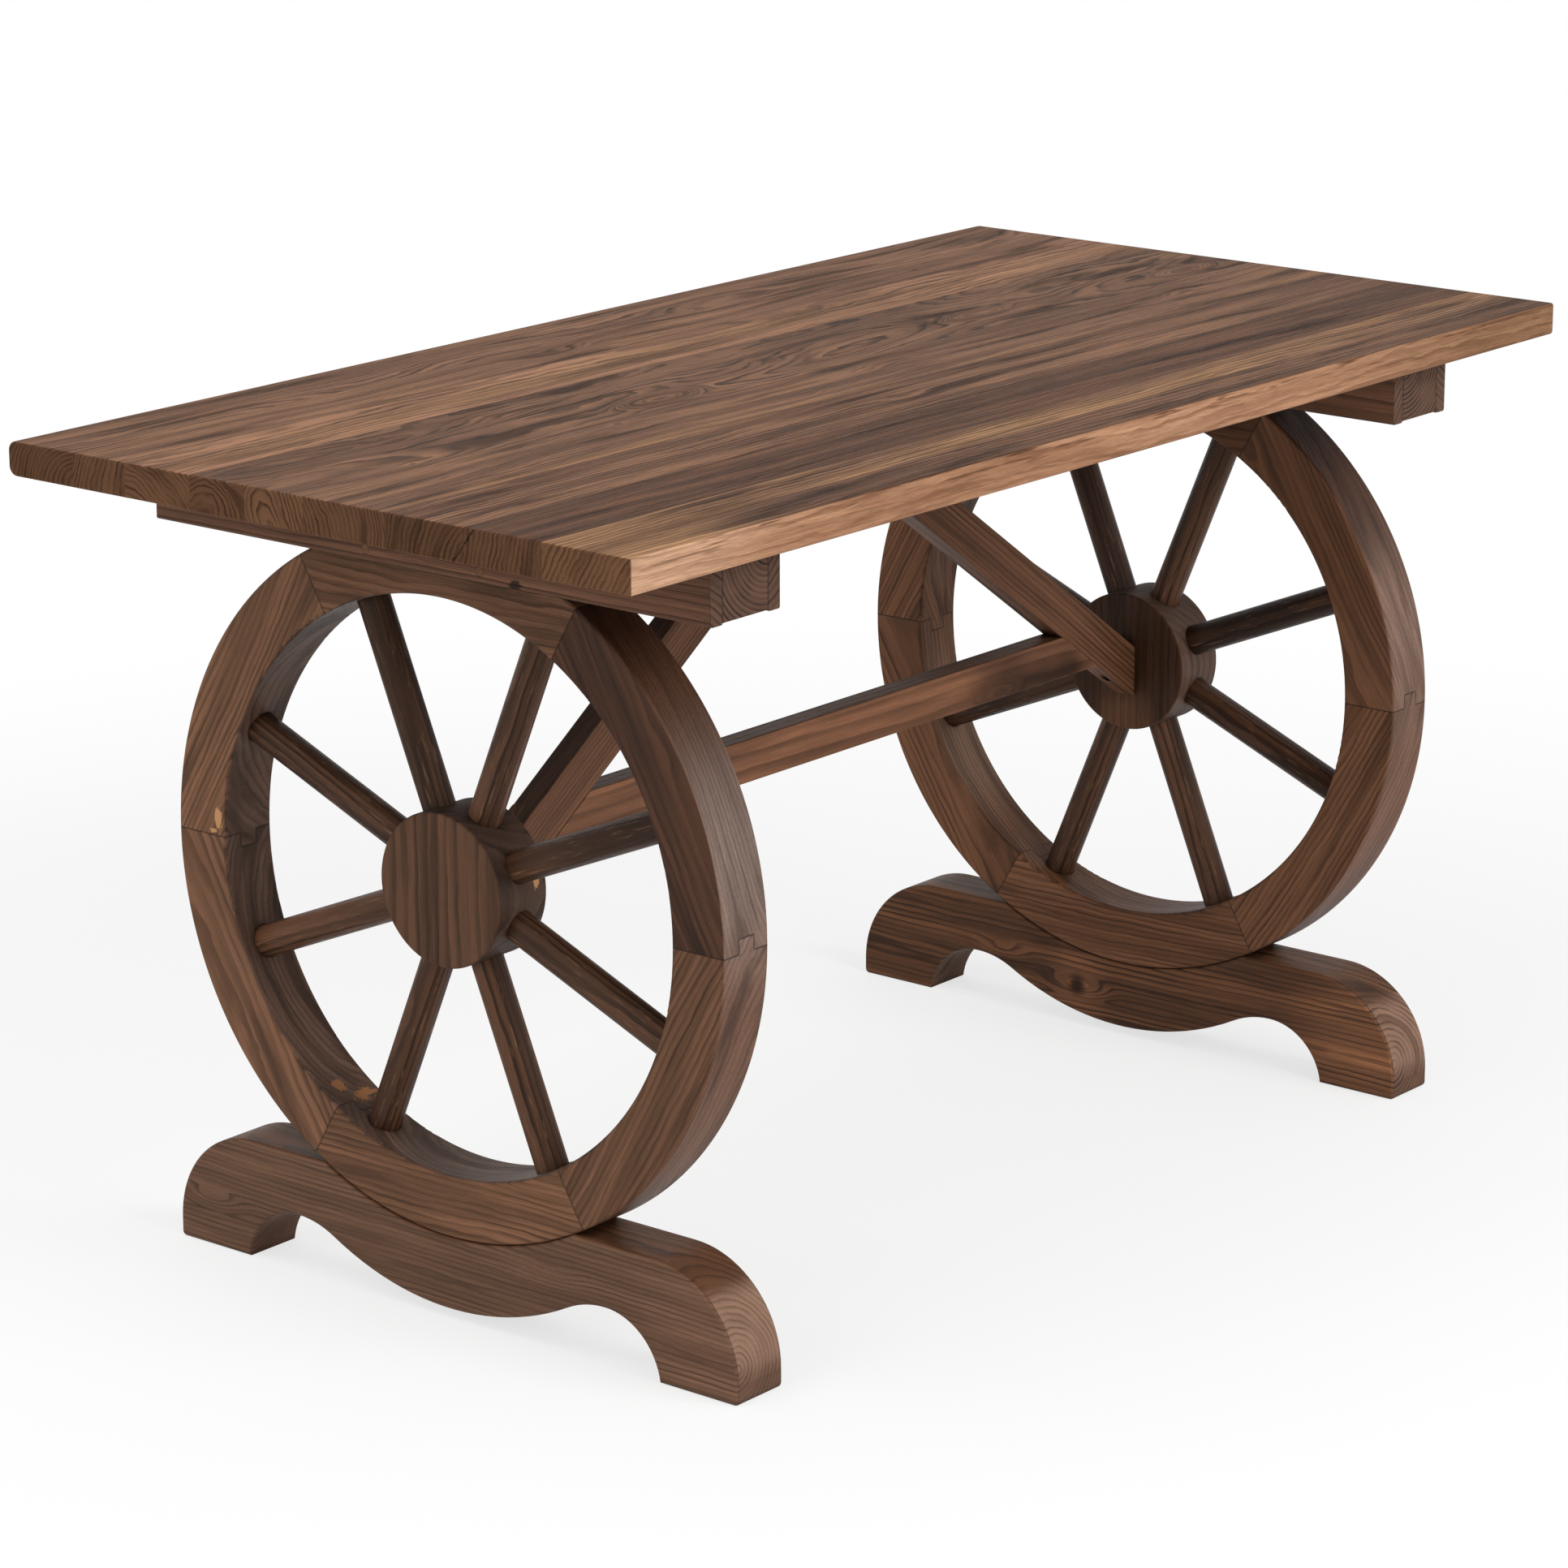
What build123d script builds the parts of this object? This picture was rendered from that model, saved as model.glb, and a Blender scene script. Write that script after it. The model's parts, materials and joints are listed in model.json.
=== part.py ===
from build123d import *
from collections import namedtuple
from math import atan2, cos, degrees, radians, sin, sqrt, tan
import os

# Wagon wheel table. Two spoked wheels stand upright on saw-cut feet and carry a plank top on two
# crossbeams. X runs along the table, Y across it and Z up from the floor, in millimetres. The
# origin is on the floor under the middle of the table. Near is -Y, left is -X.

# ------------------------------------------------------------------ tabletop
TOP_LENGTH = 1350.0
TOP_THICKNESS = 30.0
PLANK_WIDTHS = (91.0, 82.0, 84.0, 90.0, 66.0, 62.0, 76.0, 61.0, 78.0)  # near edge to far edge
NEAR_EDGE_ROUND = 2.5
FAR_EDGE_ROUND = 8.5
LEFT_END_ROUND = 1.5
RIGHT_END_ROUND = 5.0

# ------------------------------------------------------------------ wheels
WHEEL_SPREAD = 990.0  # between the middle planes of the two wheels
WHEEL_RADIUS = 310.0
RIM_DEPTH = 56.0  # across the felloes, from tread to inner face
RIM_THICKNESS = 57.0
RIM_ROUND = 3.0
FELLOE_COUNT = 6
TONGUE_REACH = 13.0  # stub bridle joint between two felloes
TONGUE_THICKNESS = 19.0
HUB_RADIUS = 68.0
HUB_LENGTH = 60.0
HUB_ROUND = 2.5
SPOKE_COUNT = 8
SPOKE_DIAMETER = 29.0
SPOKE_SEAT_IN_HUB = 22.0
SPOKE_SEAT_IN_RIM = 22.0
SPOKE_CLEARANCE = 0.1  # on the radius of each spoke hole

# ------------------------------------------------------------------ feet
SEAT_HEIGHT = 74.0  # lowest point of the wheel above the floor
FOOT_LENGTH = 646.0
FOOT_THICKNESS = 59.0
FOOT_ROUND = 3.0
HORN_RISE = 35.5  # from the lowest point of the cradle to its tips and the top of the foot
NOSE_RADIUS = 92.0
TOE_ROUND = 4.5  # lower corner of each nose
PAD_LENGTH = 85.0  # from the heel to the nose
ARCH_HEIGHT = 52.0
ARCH_CREST = 178.0  # from the middle of the foot to the top of each arch
BELLY_CLEARANCE = 8.0  # under the middle of the foot
BELLY_RADIUS = 290.0

# ------------------------------------------------------------------ crossbeams
BEAM_LENGTH = 620.0
BEAM_WEB = 26.0  # wood left between the wheel and the top
BEAM_GRIP = 31.0  # how far the boards reach down beside the rim
CORE_LIFT = 1.5  # underside of the core above the boards' lower edges
BOARD_THICKNESS = 15.0
BOARD_ROUND = 2.0
BEAM_END_SETBACK = 20.0  # from a beam's end to its outermost screw

# ------------------------------------------------------------------ braces and stretcher
RAIL_THICKNESS = 25.0  # of both braces and the stretcher, across the table
BRACE_DEPTH = 41.0  # square to the brace's length
BRACE_HEEL = 17.0  # upper corner of a brace above the axle line, at the hub
BRACE_SEAT = 60.0  # how far each brace runs on past the middle, flat under the top
STRETCHER_DEPTH = 40.0
STRETCHER_DROP = 10.0  # underside of the stretcher above the axle line
RAIL_ROUND = 1.5

# ------------------------------------------------------------------ fasteners
HOLE_CLEARANCE = 0.1  # on the radius of screw and dowel holes
DRIVE_WIDTH = 1.1  # cross recess in every screw head
DRIVE_SPAN = 4.4
DRIVE_DEPTH = 1.4
TOP_SCREW_SHANK = 4.5
TOP_SCREW_HEAD = 8.4
TOP_SCREW_HEAD_HEIGHT = 3.2
TOP_SCREW_BITE = 20.0  # into the planks
TOP_SCREW_GRIP = 18.0  # wood held between the head and the planks
RIM_SCREW_SHANK = 4.0
RIM_SCREW_HEAD = 7.4
RIM_SCREW_HEAD_HEIGHT = 2.8
RIM_SCREW_BITE = 22.0  # into the felloe
RIM_SCREW_OFFSET = 64.0  # from the middle of the beam
RIM_SCREW_RISE = 9.5  # above the lower edge of the board
PLUG_DIAMETER = 8.0
PLUG_LENGTH = 4.0
HUB_SCREW_DROP = 10.0  # below the axle line
HUB_SCREW_GRIP = 18.5  # brace wood held between the head and the hub
HUB_SCREW_BITE = 30.0
HUB_DOWEL_DIAMETER = 8.0
HUB_DOWEL_LENGTH = 50.0  # half in the brace and half in the hub
HUB_DOWEL_RISE = 3.0  # above the axle line
SEAT_SCREW_INSET = 12.0  # from the end of a brace's seat
SEAT_SCREW_GRIP = 12.0
SEAT_SCREW_BITE = 18.0
SEAT_SCREW_SETOVER = 5.0  # clear of the joint between two planks
LAP_SCREW_SHANK = 3.5
LAP_SCREW_HEAD = 6.4
LAP_SCREW_HEAD_HEIGHT = 2.4
LAP_SCREW_LENGTH = 17.0
LAP_SCREW_SPACING = 30.0
FOOT_SCREW_SHANK = 6.0
FOOT_SCREW_HEAD = 11.0
FOOT_SCREW_HEAD_HEIGHT = 4.6
FOOT_SCREW_OFFSET = 45.0  # from the middle of the foot
FOOT_SCREW_GRIP = 40.0  # foot wood held between the head and the cradle's lowest point
FOOT_SCREW_BITE = 34.0

# ------------------------------------------------------------------ heights and faces that follow
TOP_WIDTH = sum(PLANK_WIDTHS)
AXLE_HEIGHT = SEAT_HEIGHT + WHEEL_RADIUS
TOP_UNDERSIDE = AXLE_HEIGHT + WHEEL_RADIUS + BEAM_WEB
BEAM_UNDERSIDE = AXLE_HEIGHT + WHEEL_RADIUS - BEAM_GRIP
BEAM_DEPTH = BEAM_WEB + BEAM_GRIP
WHEEL_X = WHEEL_SPREAD / 2
HUB_FACE_X = WHEEL_X - HUB_LENGTH / 2
RIM_INNER_RADIUS = WHEEL_RADIUS - RIM_DEPTH
SPOKE_INNER_END = HUB_RADIUS - SPOKE_SEAT_IN_HUB
SPOKE_OUTER_END = RIM_INNER_RADIUS + SPOKE_SEAT_IN_RIM
FELLOE_ANGLE = 360.0 / FELLOE_COUNT
SPOKE_ANGLE = 360.0 / SPOKE_COUNT
BRACE_SLOPE = atan2(TOP_UNDERSIDE - (AXLE_HEIGHT + BRACE_HEEL), HUB_FACE_X)
BRACE_PLUMB = BRACE_DEPTH / cos(BRACE_SLOPE)  # the brace's depth measured straight down
STRETCHER_BOTTOM = AXLE_HEIGHT + STRETCHER_DROP
STRETCHER_TOP = STRETCHER_BOTTOM + STRETCHER_DEPTH
STRETCHER_MIDDLE = STRETCHER_BOTTOM + STRETCHER_DEPTH / 2

BASE = (Align.CENTER, Align.CENTER, Align.MIN)
CAP = (Align.CENTER, Align.CENTER, Align.MAX)
SIDES = {"left": -1, "right": 1}

ScrewSize = namedtuple("ScrewSize", "shank head head_height")
TOP_SCREW = ScrewSize(TOP_SCREW_SHANK, TOP_SCREW_HEAD, TOP_SCREW_HEAD_HEIGHT)
RIM_SCREW = ScrewSize(RIM_SCREW_SHANK, RIM_SCREW_HEAD, RIM_SCREW_HEAD_HEIGHT)
LAP_SCREW = ScrewSize(LAP_SCREW_SHANK, LAP_SCREW_HEAD, LAP_SCREW_HEAD_HEIGHT)
FOOT_SCREW = ScrewSize(FOOT_SCREW_SHANK, FOOT_SCREW_HEAD, FOOT_SCREW_HEAD_HEIGHT)


# ------------------------------------------------------------------ fasteners
def screw(size, seat, direction, length):
    """A screw whose head rests on the seat point and whose shank points along the direction."""
    frame = Plane(origin=seat, z_dir=direction)
    tip_length = size.shank
    shank = Cylinder(size.shank / 2, length - tip_length, align=BASE)
    tip = Pos(0, 0, length - tip_length) * Cone(size.shank / 2, size.shank / 10, tip_length, align=BASE)
    head = Cylinder(size.head / 2, size.head_height, align=CAP)
    slot = Box(DRIVE_WIDTH, DRIVE_SPAN, DRIVE_DEPTH, align=BASE)
    drive = slot + Rot(0, 0, 90) * slot
    return frame * (shank + tip + head - Pos(0, 0, -size.head_height) * drive)


def screw_hole(size, seat, direction, length, access):
    """The pilot hole ahead of a screw's seat, and the counterbore that its head goes in through."""
    frame = Plane(origin=seat, z_dir=direction)
    pilot = Cylinder(size.shank / 2 + HOLE_CLEARANCE, length + HOLE_CLEARANCE, align=BASE)
    counterbore = Cylinder(size.head / 2 + HOLE_CLEARANCE, access, align=CAP)
    return frame * (pilot + counterbore)


def rod(diameter, start, direction, length):
    """A plain round pin, plug or dowel."""
    return Plane(origin=start, z_dir=direction) * Cylinder(diameter / 2, length, align=BASE)


# ------------------------------------------------------------------ tabletop
def plank_edges():
    """The Y of every line between planks, from the near edge to the far edge of the top."""
    edges = [-TOP_WIDTH / 2]
    for width in PLANK_WIDTHS:
        edges.append(edges[-1] + width)
    return edges


def plank(index, edges):
    """One plank of the top, eased where it meets the outside of the table."""
    near, far = edges[index], edges[index + 1]
    middle = Pos(0, (near + far) / 2, TOP_UNDERSIDE + TOP_THICKNESS / 2)
    board = middle * Box(TOP_LENGTH, far - near, TOP_THICKNESS)
    long_edges = board.edges().filter_by(Axis.X)
    if index == 0:
        board = fillet(long_edges.group_by(Axis.Y)[0], NEAR_EDGE_ROUND)
    if index == len(PLANK_WIDTHS) - 1:
        board = fillet(long_edges.group_by(Axis.Y)[-1], FAR_EDGE_ROUND)
    for end, rounding in ((0, LEFT_END_ROUND), (-1, RIGHT_END_ROUND)):
        end_face = board.faces().sort_by(Axis.X)[end]
        board = fillet(end_face.edges().filter_by(Axis.Y), rounding)
    return board


def plank_screw_rows(edges):
    """The Y of the screw that holds each plank, kept back from the ends of the beam."""
    limit = BEAM_LENGTH / 2 - BEAM_END_SETBACK
    middles = [(near + far) / 2 for near, far in zip(edges, edges[1:])]
    return [max(-limit, min(limit, middle)) for middle in middles]


# ------------------------------------------------------------------ wheels
def rim_band(outline, thickness):
    """The part of the rim's ring inside an outline, as thick as told."""
    ring = Circle(WHEEL_RADIUS) - Circle(RIM_INNER_RADIUS)
    return extrude(Plane.YZ * (ring & outline), thickness / 2, both=True)


def tongue(angle):
    """The stub tongue that a felloe reaches into its lower neighbour with, at a joint's angle."""
    strip = Pos(WHEEL_RADIUS, -TONGUE_REACH / 2) * Rectangle(2 * WHEEL_RADIUS, TONGUE_REACH)
    return rim_band(Rot(0, 0, angle) * strip, TONGUE_THICKNESS)


def radial_rod(radius, start, end, angle):
    """A round bar that runs outwards in the wheel's plane."""
    direction = (0, cos(radians(angle)), sin(radians(angle)))
    return rod(2 * radius, tuple(start * part for part in direction), direction, end - start)


def spoke_angles():
    """Spokes stand half a step off the horizontal, so that none points straight down."""
    return [SPOKE_ANGLE * (index + 0.5) for index in range(SPOKE_COUNT)]


def spoke_holes():
    """The sockets of all spokes, as rods that run from the hub's sockets to the rim's."""
    radius = SPOKE_DIAMETER / 2 + SPOKE_CLEARANCE
    return [radial_rod(radius, SPOKE_INNER_END, SPOKE_OUTER_END, angle) for angle in spoke_angles()]


def felloe(index, holes):
    """One of the sawn arcs of the rim, with a tongue at its low end and a slot at its high end."""
    start = index * FELLOE_ANGLE
    end = start + FELLOE_ANGLE
    far = 2 * WHEEL_RADIUS
    start_corner = (far * cos(radians(start)), far * sin(radians(start)))
    end_corner = (far * cos(radians(end)), far * sin(radians(end)))
    sector = rim_band(make_face(Polyline((0, 0), start_corner, end_corner, close=True)), RIM_THICKNESS)
    arcs = sector.edges().filter_by(GeomType.CIRCLE)
    return fillet(arcs, RIM_ROUND) - tongue(end) + tongue(start) - holes


def hub(holes):
    """The turned block in the middle of a wheel, bored for the spokes."""
    block = Rot(0, 90, 0) * Cylinder(HUB_RADIUS, HUB_LENGTH)
    return fillet(block.edges().filter_by(GeomType.CIRCLE), HUB_ROUND) - holes


# ------------------------------------------------------------------ feet
def foot_outline():
    """Half of a foot's outline, from the belly round the arch, pad, nose and horn to the cradle."""
    half = FOOT_LENGTH / 2
    rise = ARCH_HEIGHT - BELLY_CLEARANCE
    two_radii = (ARCH_CREST**2 + rise**2) / (2 * rise)
    turn_share = BELLY_RADIUS / two_radii
    turn = (ARCH_CREST * turn_share, BELLY_CLEARANCE + rise * turn_share)
    top = SEAT_HEIGHT + HORN_RISE
    horn = (sqrt(WHEEL_RADIUS**2 - (AXLE_HEIGHT - top) ** 2), top)
    belly_middle = (0, BELLY_CLEARANCE)
    crest = (ARCH_CREST, ARCH_HEIGHT)
    heel = (half - PAD_LENGTH, 0)
    nose = (half, top - NOSE_RADIUS)
    shoulder = (half - NOSE_RADIUS, top)
    seat = (0, SEAT_HEIGHT)
    return [
        TangentArc(belly_middle, turn, tangent=(1, 0)),
        TangentArc(crest, turn, tangent=(-1, 0)),
        TangentArc(crest, heel, tangent=(1, 0)),
        Line(heel, (half - TOE_ROUND, 0)),
        TangentArc((half - TOE_ROUND, 0), (half, TOE_ROUND), tangent=(1, 0)),
        Line((half, TOE_ROUND), nose),
        TangentArc(nose, shoulder, tangent=(0, 1)),
        Line(shoulder, horn),
        TangentArc(seat, horn, tangent=(1, 0)),
        Line(seat, belly_middle),
    ]


def foot():
    """A foot sawn from one plank: a cradle for the wheel, two pads and an arch beside each."""
    half_face = make_face(foot_outline())
    face = half_face + mirror(half_face, Plane.YZ)
    half_body = extrude(Plane.YZ * face, FOOT_THICKNESS / 2)
    outer_side = half_body.faces().sort_by(Axis.X)[-1]
    half_body = fillet(outer_side.edges(), FOOT_ROUND)
    return half_body + mirror(half_body, Plane.YZ)


# ------------------------------------------------------------------ crossbeams
def beam_core():
    """The middle of a crossbeam, hollowed underneath to sit on the wheel."""
    depth = BEAM_DEPTH - CORE_LIFT
    bar = Pos(0, 0, TOP_UNDERSIDE - depth / 2) * Box(RIM_THICKNESS, BEAM_LENGTH, depth)
    wheel = Pos(0, 0, AXLE_HEIGHT) * Rot(0, 90, 0) * Cylinder(WHEEL_RADIUS, 2 * RIM_THICKNESS)
    return bar - wheel


def beam_board():
    """A board nailed flat to the side of a crossbeam, standing on edge in its own plane."""
    board = Pos(0, 0, BEAM_UNDERSIDE + BEAM_DEPTH / 2) * Box(BOARD_THICKNESS, BEAM_LENGTH, BEAM_DEPTH)
    lower_edges = board.edges().filter_by(Axis.Y).group_by(Axis.Z)[0]
    return fillet(lower_edges, BOARD_ROUND)


# ------------------------------------------------------------------ braces and stretcher
def brace_outline():
    """The right brace seen from the front: plumb cut at the hub, flat seat under the top."""
    lower_end = (HUB_FACE_X, AXLE_HEIGHT + BRACE_HEEL - BRACE_PLUMB)
    upper_end = (HUB_FACE_X, AXLE_HEIGHT + BRACE_HEEL)
    seat_start = (0, TOP_UNDERSIDE)
    seat_end = (-BRACE_SEAT, TOP_UNDERSIDE)
    trimmed_tip = (-BRACE_SEAT, TOP_UNDERSIDE - BRACE_PLUMB + BRACE_SEAT * tan(BRACE_SLOPE))
    return [lower_end, upper_end, seat_start, seat_end, trimmed_tip]


def rail_solid(points, side, y_low, y_high):
    """A flat shape in the XZ plane, mirrored to its side and extruded between two Y planes."""
    face = make_face(Polyline(*[(side * x, z) for x, z in points], close=True))
    front = Plane(origin=(0, y_low, 0), x_dir=(1, 0, 0), z_dir=(0, -1, 0))
    return extrude(front * face, y_low - y_high)


def eased(rail):
    """A rail with the corners of its front and back faces eased."""
    faces = rail.faces().filter_by(Axis.Y).sort_by(Axis.Y)
    return fillet(faces[0].edges() + faces[-1].edges(), RAIL_ROUND)


def brace_cover(side, front):
    """The front or back half of a brace's own space, which is what a lap joint takes away."""
    half = RAIL_THICKNESS / 2
    return rail_solid(brace_outline(), side, -half if front else 0, 0 if front else half)


def brace(side):
    """A brace from a hub up to the top, halved where it crosses the other brace and the stretcher."""
    half = RAIL_THICKNESS / 2
    body = eased(rail_solid(brace_outline(), side, -half, half))
    crossing = brace_cover(-side, front=side < 0)
    return body - crossing - stretcher_cover(side)


def stretcher_cover(side):
    """The back half of the stretcher's space at one end, which the brace makes room for."""
    corners = [(0, STRETCHER_BOTTOM), (0, STRETCHER_TOP), (HUB_FACE_X, STRETCHER_TOP), (HUB_FACE_X, STRETCHER_BOTTOM)]
    return rail_solid(corners, side, 0, RAIL_THICKNESS / 2)


def stretcher():
    """The rail between the hubs. Each end is halved behind a brace and cut flush with its edges."""
    half = RAIL_THICKNESS / 2
    height = Pos(0, 0, STRETCHER_MIDDLE)
    bar = eased(height * Box(2 * HUB_FACE_X, RAIL_THICKNESS, STRETCHER_DEPTH))
    above = [(0, TOP_UNDERSIDE), (HUB_FACE_X, AXLE_HEIGHT + BRACE_HEEL), (HUB_FACE_X, TOP_UNDERSIDE)]
    for side in SIDES.values():
        bar = bar - brace_cover(side, front=True) - rail_solid(above, side, -half, half)
    return bar


# ------------------------------------------------------------------ the table, piece by piece
def build_wheel(side):
    """Every piece of one wheel, keyed by its name within the wheel and set in place."""
    place = Pos(side * WHEEL_X, 0, AXLE_HEIGHT)
    holes = spoke_holes()
    pieces = {"hub": place * hub(holes)}
    for index in range(FELLOE_COUNT):
        pieces[f"felloe_{index + 1}"] = place * felloe(index, holes)
    for index, angle in enumerate(spoke_angles()):
        bar = radial_rod(SPOKE_DIAMETER / 2, SPOKE_INNER_END, SPOKE_OUTER_END, angle)
        pieces[f"spoke_{index + 1}"] = place * bar
    return pieces


def felloe_at(angle):
    """The name of the felloe that crosses an angle of the wheel."""
    return f"felloe_{int(angle // FELLOE_ANGLE) + 1}"


def build_side(name, side):
    """The wheel, foot and crossbeam of one end of the table, keyed by node name."""
    pieces = build_wheel(side)
    pieces["foot"] = Pos(side * WHEEL_X, 0, 0) * foot()
    pieces["beam_core"] = Pos(side * WHEEL_X, 0, 0) * beam_core()
    board_offset = (RIM_THICKNESS + BOARD_THICKNESS) / 2
    pieces["beam_outer_board"] = Pos(side * (WHEEL_X + board_offset), 0, 0) * beam_board()
    pieces["beam_inner_board"] = Pos(side * (WHEEL_X - board_offset), 0, 0) * beam_board()
    return {f"{name}_{key}": piece for key, piece in pieces.items()}


def drill(table, names, holes):
    """Cut a list of holes from each named piece of the table."""
    for name in names:
        table[name] = table[name] - holes


def fit_plank_screws(table, names, edges):
    """One screw up through a beam's core into every plank, at each end of the table."""
    seat_height = TOP_UNDERSIDE - TOP_SCREW_GRIP
    length = TOP_SCREW_GRIP + TOP_SCREW_BITE
    screws = []
    for side_name, side in SIDES.items():
        seats = [(side * WHEEL_X, y, seat_height) for y in plank_screw_rows(edges)]
        holes = [screw_hole(TOP_SCREW, seat, (0, 0, 1), length, BEAM_DEPTH) for seat in seats]
        screws += [screw(TOP_SCREW, seat, (0, 0, 1), length) for seat in seats]
        drill(table, names + [f"{side_name}_beam_core"], holes)
    table["plank_screws"] = screws


def fit_rim_screws(table):
    """Plugged screws through the beams' boards into the top felloe of each wheel."""
    screws, plugs = [], []
    length = BOARD_THICKNESS - PLUG_LENGTH - RIM_SCREW_HEAD_HEIGHT + RIM_SCREW_BITE
    height = BEAM_UNDERSIDE + RIM_SCREW_RISE
    for side_name, side in SIDES.items():
        for board, outward in (("beam_outer_board", side), ("beam_inner_board", -side)):
            face = side * WHEEL_X + outward * (RIM_THICKNESS / 2 + BOARD_THICKNESS)
            seat_x = face - outward * (PLUG_LENGTH + RIM_SCREW_HEAD_HEIGHT)
            inward = (-outward, 0, 0)
            for y in (-RIM_SCREW_OFFSET, RIM_SCREW_OFFSET):
                seat = (seat_x, y, height)
                hole = screw_hole(RIM_SCREW, seat, inward, length, RIM_SCREW_HEAD_HEIGHT)
                socket = rod(PLUG_DIAMETER, (face, y, height), inward, PLUG_LENGTH)
                drill(table, [f"{side_name}_{board}", f"{side_name}_{felloe_at(90)}"], [hole, socket])
                screws.append(screw(RIM_SCREW, seat, inward, length))
                plugs.append(socket)
    table["rim_screws"] = screws
    table["screw_plugs"] = plugs


def fit_hub_fasteners(table):
    """A screw from each brace's underside and a hidden dowel hold the braces to the hubs."""
    screws, dowels = [], []
    length = HUB_SCREW_GRIP + HUB_SCREW_BITE
    access = BRACE_PLUMB / tan(BRACE_SLOPE)
    for side_name, side in SIDES.items():
        inward = (side, 0, 0)
        seat = (side * (HUB_FACE_X - HUB_SCREW_GRIP), 0, AXLE_HEIGHT - HUB_SCREW_DROP)
        dowel_start = (side * (HUB_FACE_X - HUB_DOWEL_LENGTH / 2), 0, AXLE_HEIGHT + HUB_DOWEL_RISE)
        bore = rod(HUB_DOWEL_DIAMETER + 2 * HOLE_CLEARANCE, dowel_start, inward, HUB_DOWEL_LENGTH)
        hole = screw_hole(TOP_SCREW, seat, inward, length, access)
        drill(table, [f"{side_name}_brace", f"{side_name}_hub"], [hole, bore])
        screws.append(screw(TOP_SCREW, seat, inward, length))
        dowels.append(rod(HUB_DOWEL_DIAMETER, dowel_start, inward, HUB_DOWEL_LENGTH))
    table["hub_screws"] = screws
    table["hub_dowels"] = dowels


def fit_seat_screws(table, names):
    """A screw up through each brace's flat seat into the top."""
    length = SEAT_SCREW_GRIP + SEAT_SCREW_BITE
    screws = []
    for side_name, side in SIDES.items():
        x = -side * (BRACE_SEAT - SEAT_SCREW_INSET)
        seat = (x, -SEAT_SCREW_SETOVER, TOP_UNDERSIDE - SEAT_SCREW_GRIP)
        hole = screw_hole(TOP_SCREW, seat, (0, 0, 1), length, BRACE_PLUMB)
        drill(table, names + [f"{side_name}_brace"], [hole])
        screws.append(screw(TOP_SCREW, seat, (0, 0, 1), length))
    table["seat_screws"] = screws


def lap_screw_seats():
    """Where the lap joints are screwed from behind: two at each hub and one at the crossing."""
    lap_middle = (TOP_UNDERSIDE - BRACE_PLUMB / 2 - STRETCHER_MIDDLE) / tan(BRACE_SLOPE)
    seats = {"crossing": [(0, TOP_UNDERSIDE - BRACE_PLUMB / 2)]}
    for side_name, side in SIDES.items():
        shifts = (-LAP_SCREW_SPACING / 2, LAP_SCREW_SPACING / 2)
        seats[side_name] = [(side * (lap_middle + shift), STRETCHER_MIDDLE) for shift in shifts]
    return seats


def fit_lap_screws(table):
    """Short countersunk screws from the back face through both halves of every lap joint."""
    back = RAIL_THICKNESS / 2 - LAP_SCREW_HEAD_HEIGHT
    forward = (0, -1, 0)
    joined = {
        "crossing": ["left_brace", "right_brace"],
        "left": ["left_brace", "stretcher"],
        "right": ["right_brace", "stretcher"],
    }
    screws = []
    for joint, places in lap_screw_seats().items():
        seats = [(x, back, z) for x, z in places]
        holes = [screw_hole(LAP_SCREW, seat, forward, LAP_SCREW_LENGTH, RAIL_THICKNESS) for seat in seats]
        drill(table, joined[joint], holes)
        screws += [screw(LAP_SCREW, seat, forward, LAP_SCREW_LENGTH) for seat in seats]
    table["lap_screws"] = screws


def fit_foot_screws(table):
    """Two long screws up through each foot into the lowest felloe."""
    seat_height = SEAT_HEIGHT - FOOT_SCREW_GRIP
    length = FOOT_SCREW_GRIP + FOOT_SCREW_BITE
    screws = []
    for side_name, side in SIDES.items():
        seats = [(side * WHEEL_X, y, seat_height) for y in (-FOOT_SCREW_OFFSET, FOOT_SCREW_OFFSET)]
        holes = [screw_hole(FOOT_SCREW, seat, (0, 0, 1), length, SEAT_HEIGHT) for seat in seats]
        drill(table, [f"{side_name}_foot", f"{side_name}_{felloe_at(270)}"], holes)
        screws += [screw(FOOT_SCREW, seat, (0, 0, 1), length) for seat in seats]
    table["foot_screws"] = screws


def build_table():
    """Every node of the table: one shape each, or a list of identical fasteners."""
    edges = plank_edges()
    planks = {f"plank_{index + 1}": plank(index, edges) for index in range(len(PLANK_WIDTHS))}
    table = dict(planks)
    for name, side in SIDES.items():
        table.update(build_side(name, side))
        table[f"{name}_brace"] = brace(side)
    table["stretcher"] = stretcher()
    fit_plank_screws(table, list(planks), edges)
    fit_rim_screws(table)
    fit_hub_fasteners(table)
    fit_seat_screws(table, list(planks))
    fit_lap_screws(table)
    fit_foot_screws(table)
    return table


def write_node(name, shape):
    """Write one node, whose solids stay separate, to its own file."""
    shapes = shape if isinstance(shape, list) else [shape]
    solids = [solid for item in shapes for solid in item.solids()]
    node = solids[0] if len(solids) == 1 else Compound(children=solids)
    node.label = name
    export_step(node, f"parts/{name}.step")


os.makedirs("parts", exist_ok=True)
for node_name, node_shape in build_table().items():
    write_node(node_name, node_shape)
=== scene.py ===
"""The wagon wheel table, dressed: camera, light, floor and a solid-wood material for every piece."""
import json
import math
from collections import namedtuple

import bpy
from mathutils import Matrix, Vector

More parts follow.
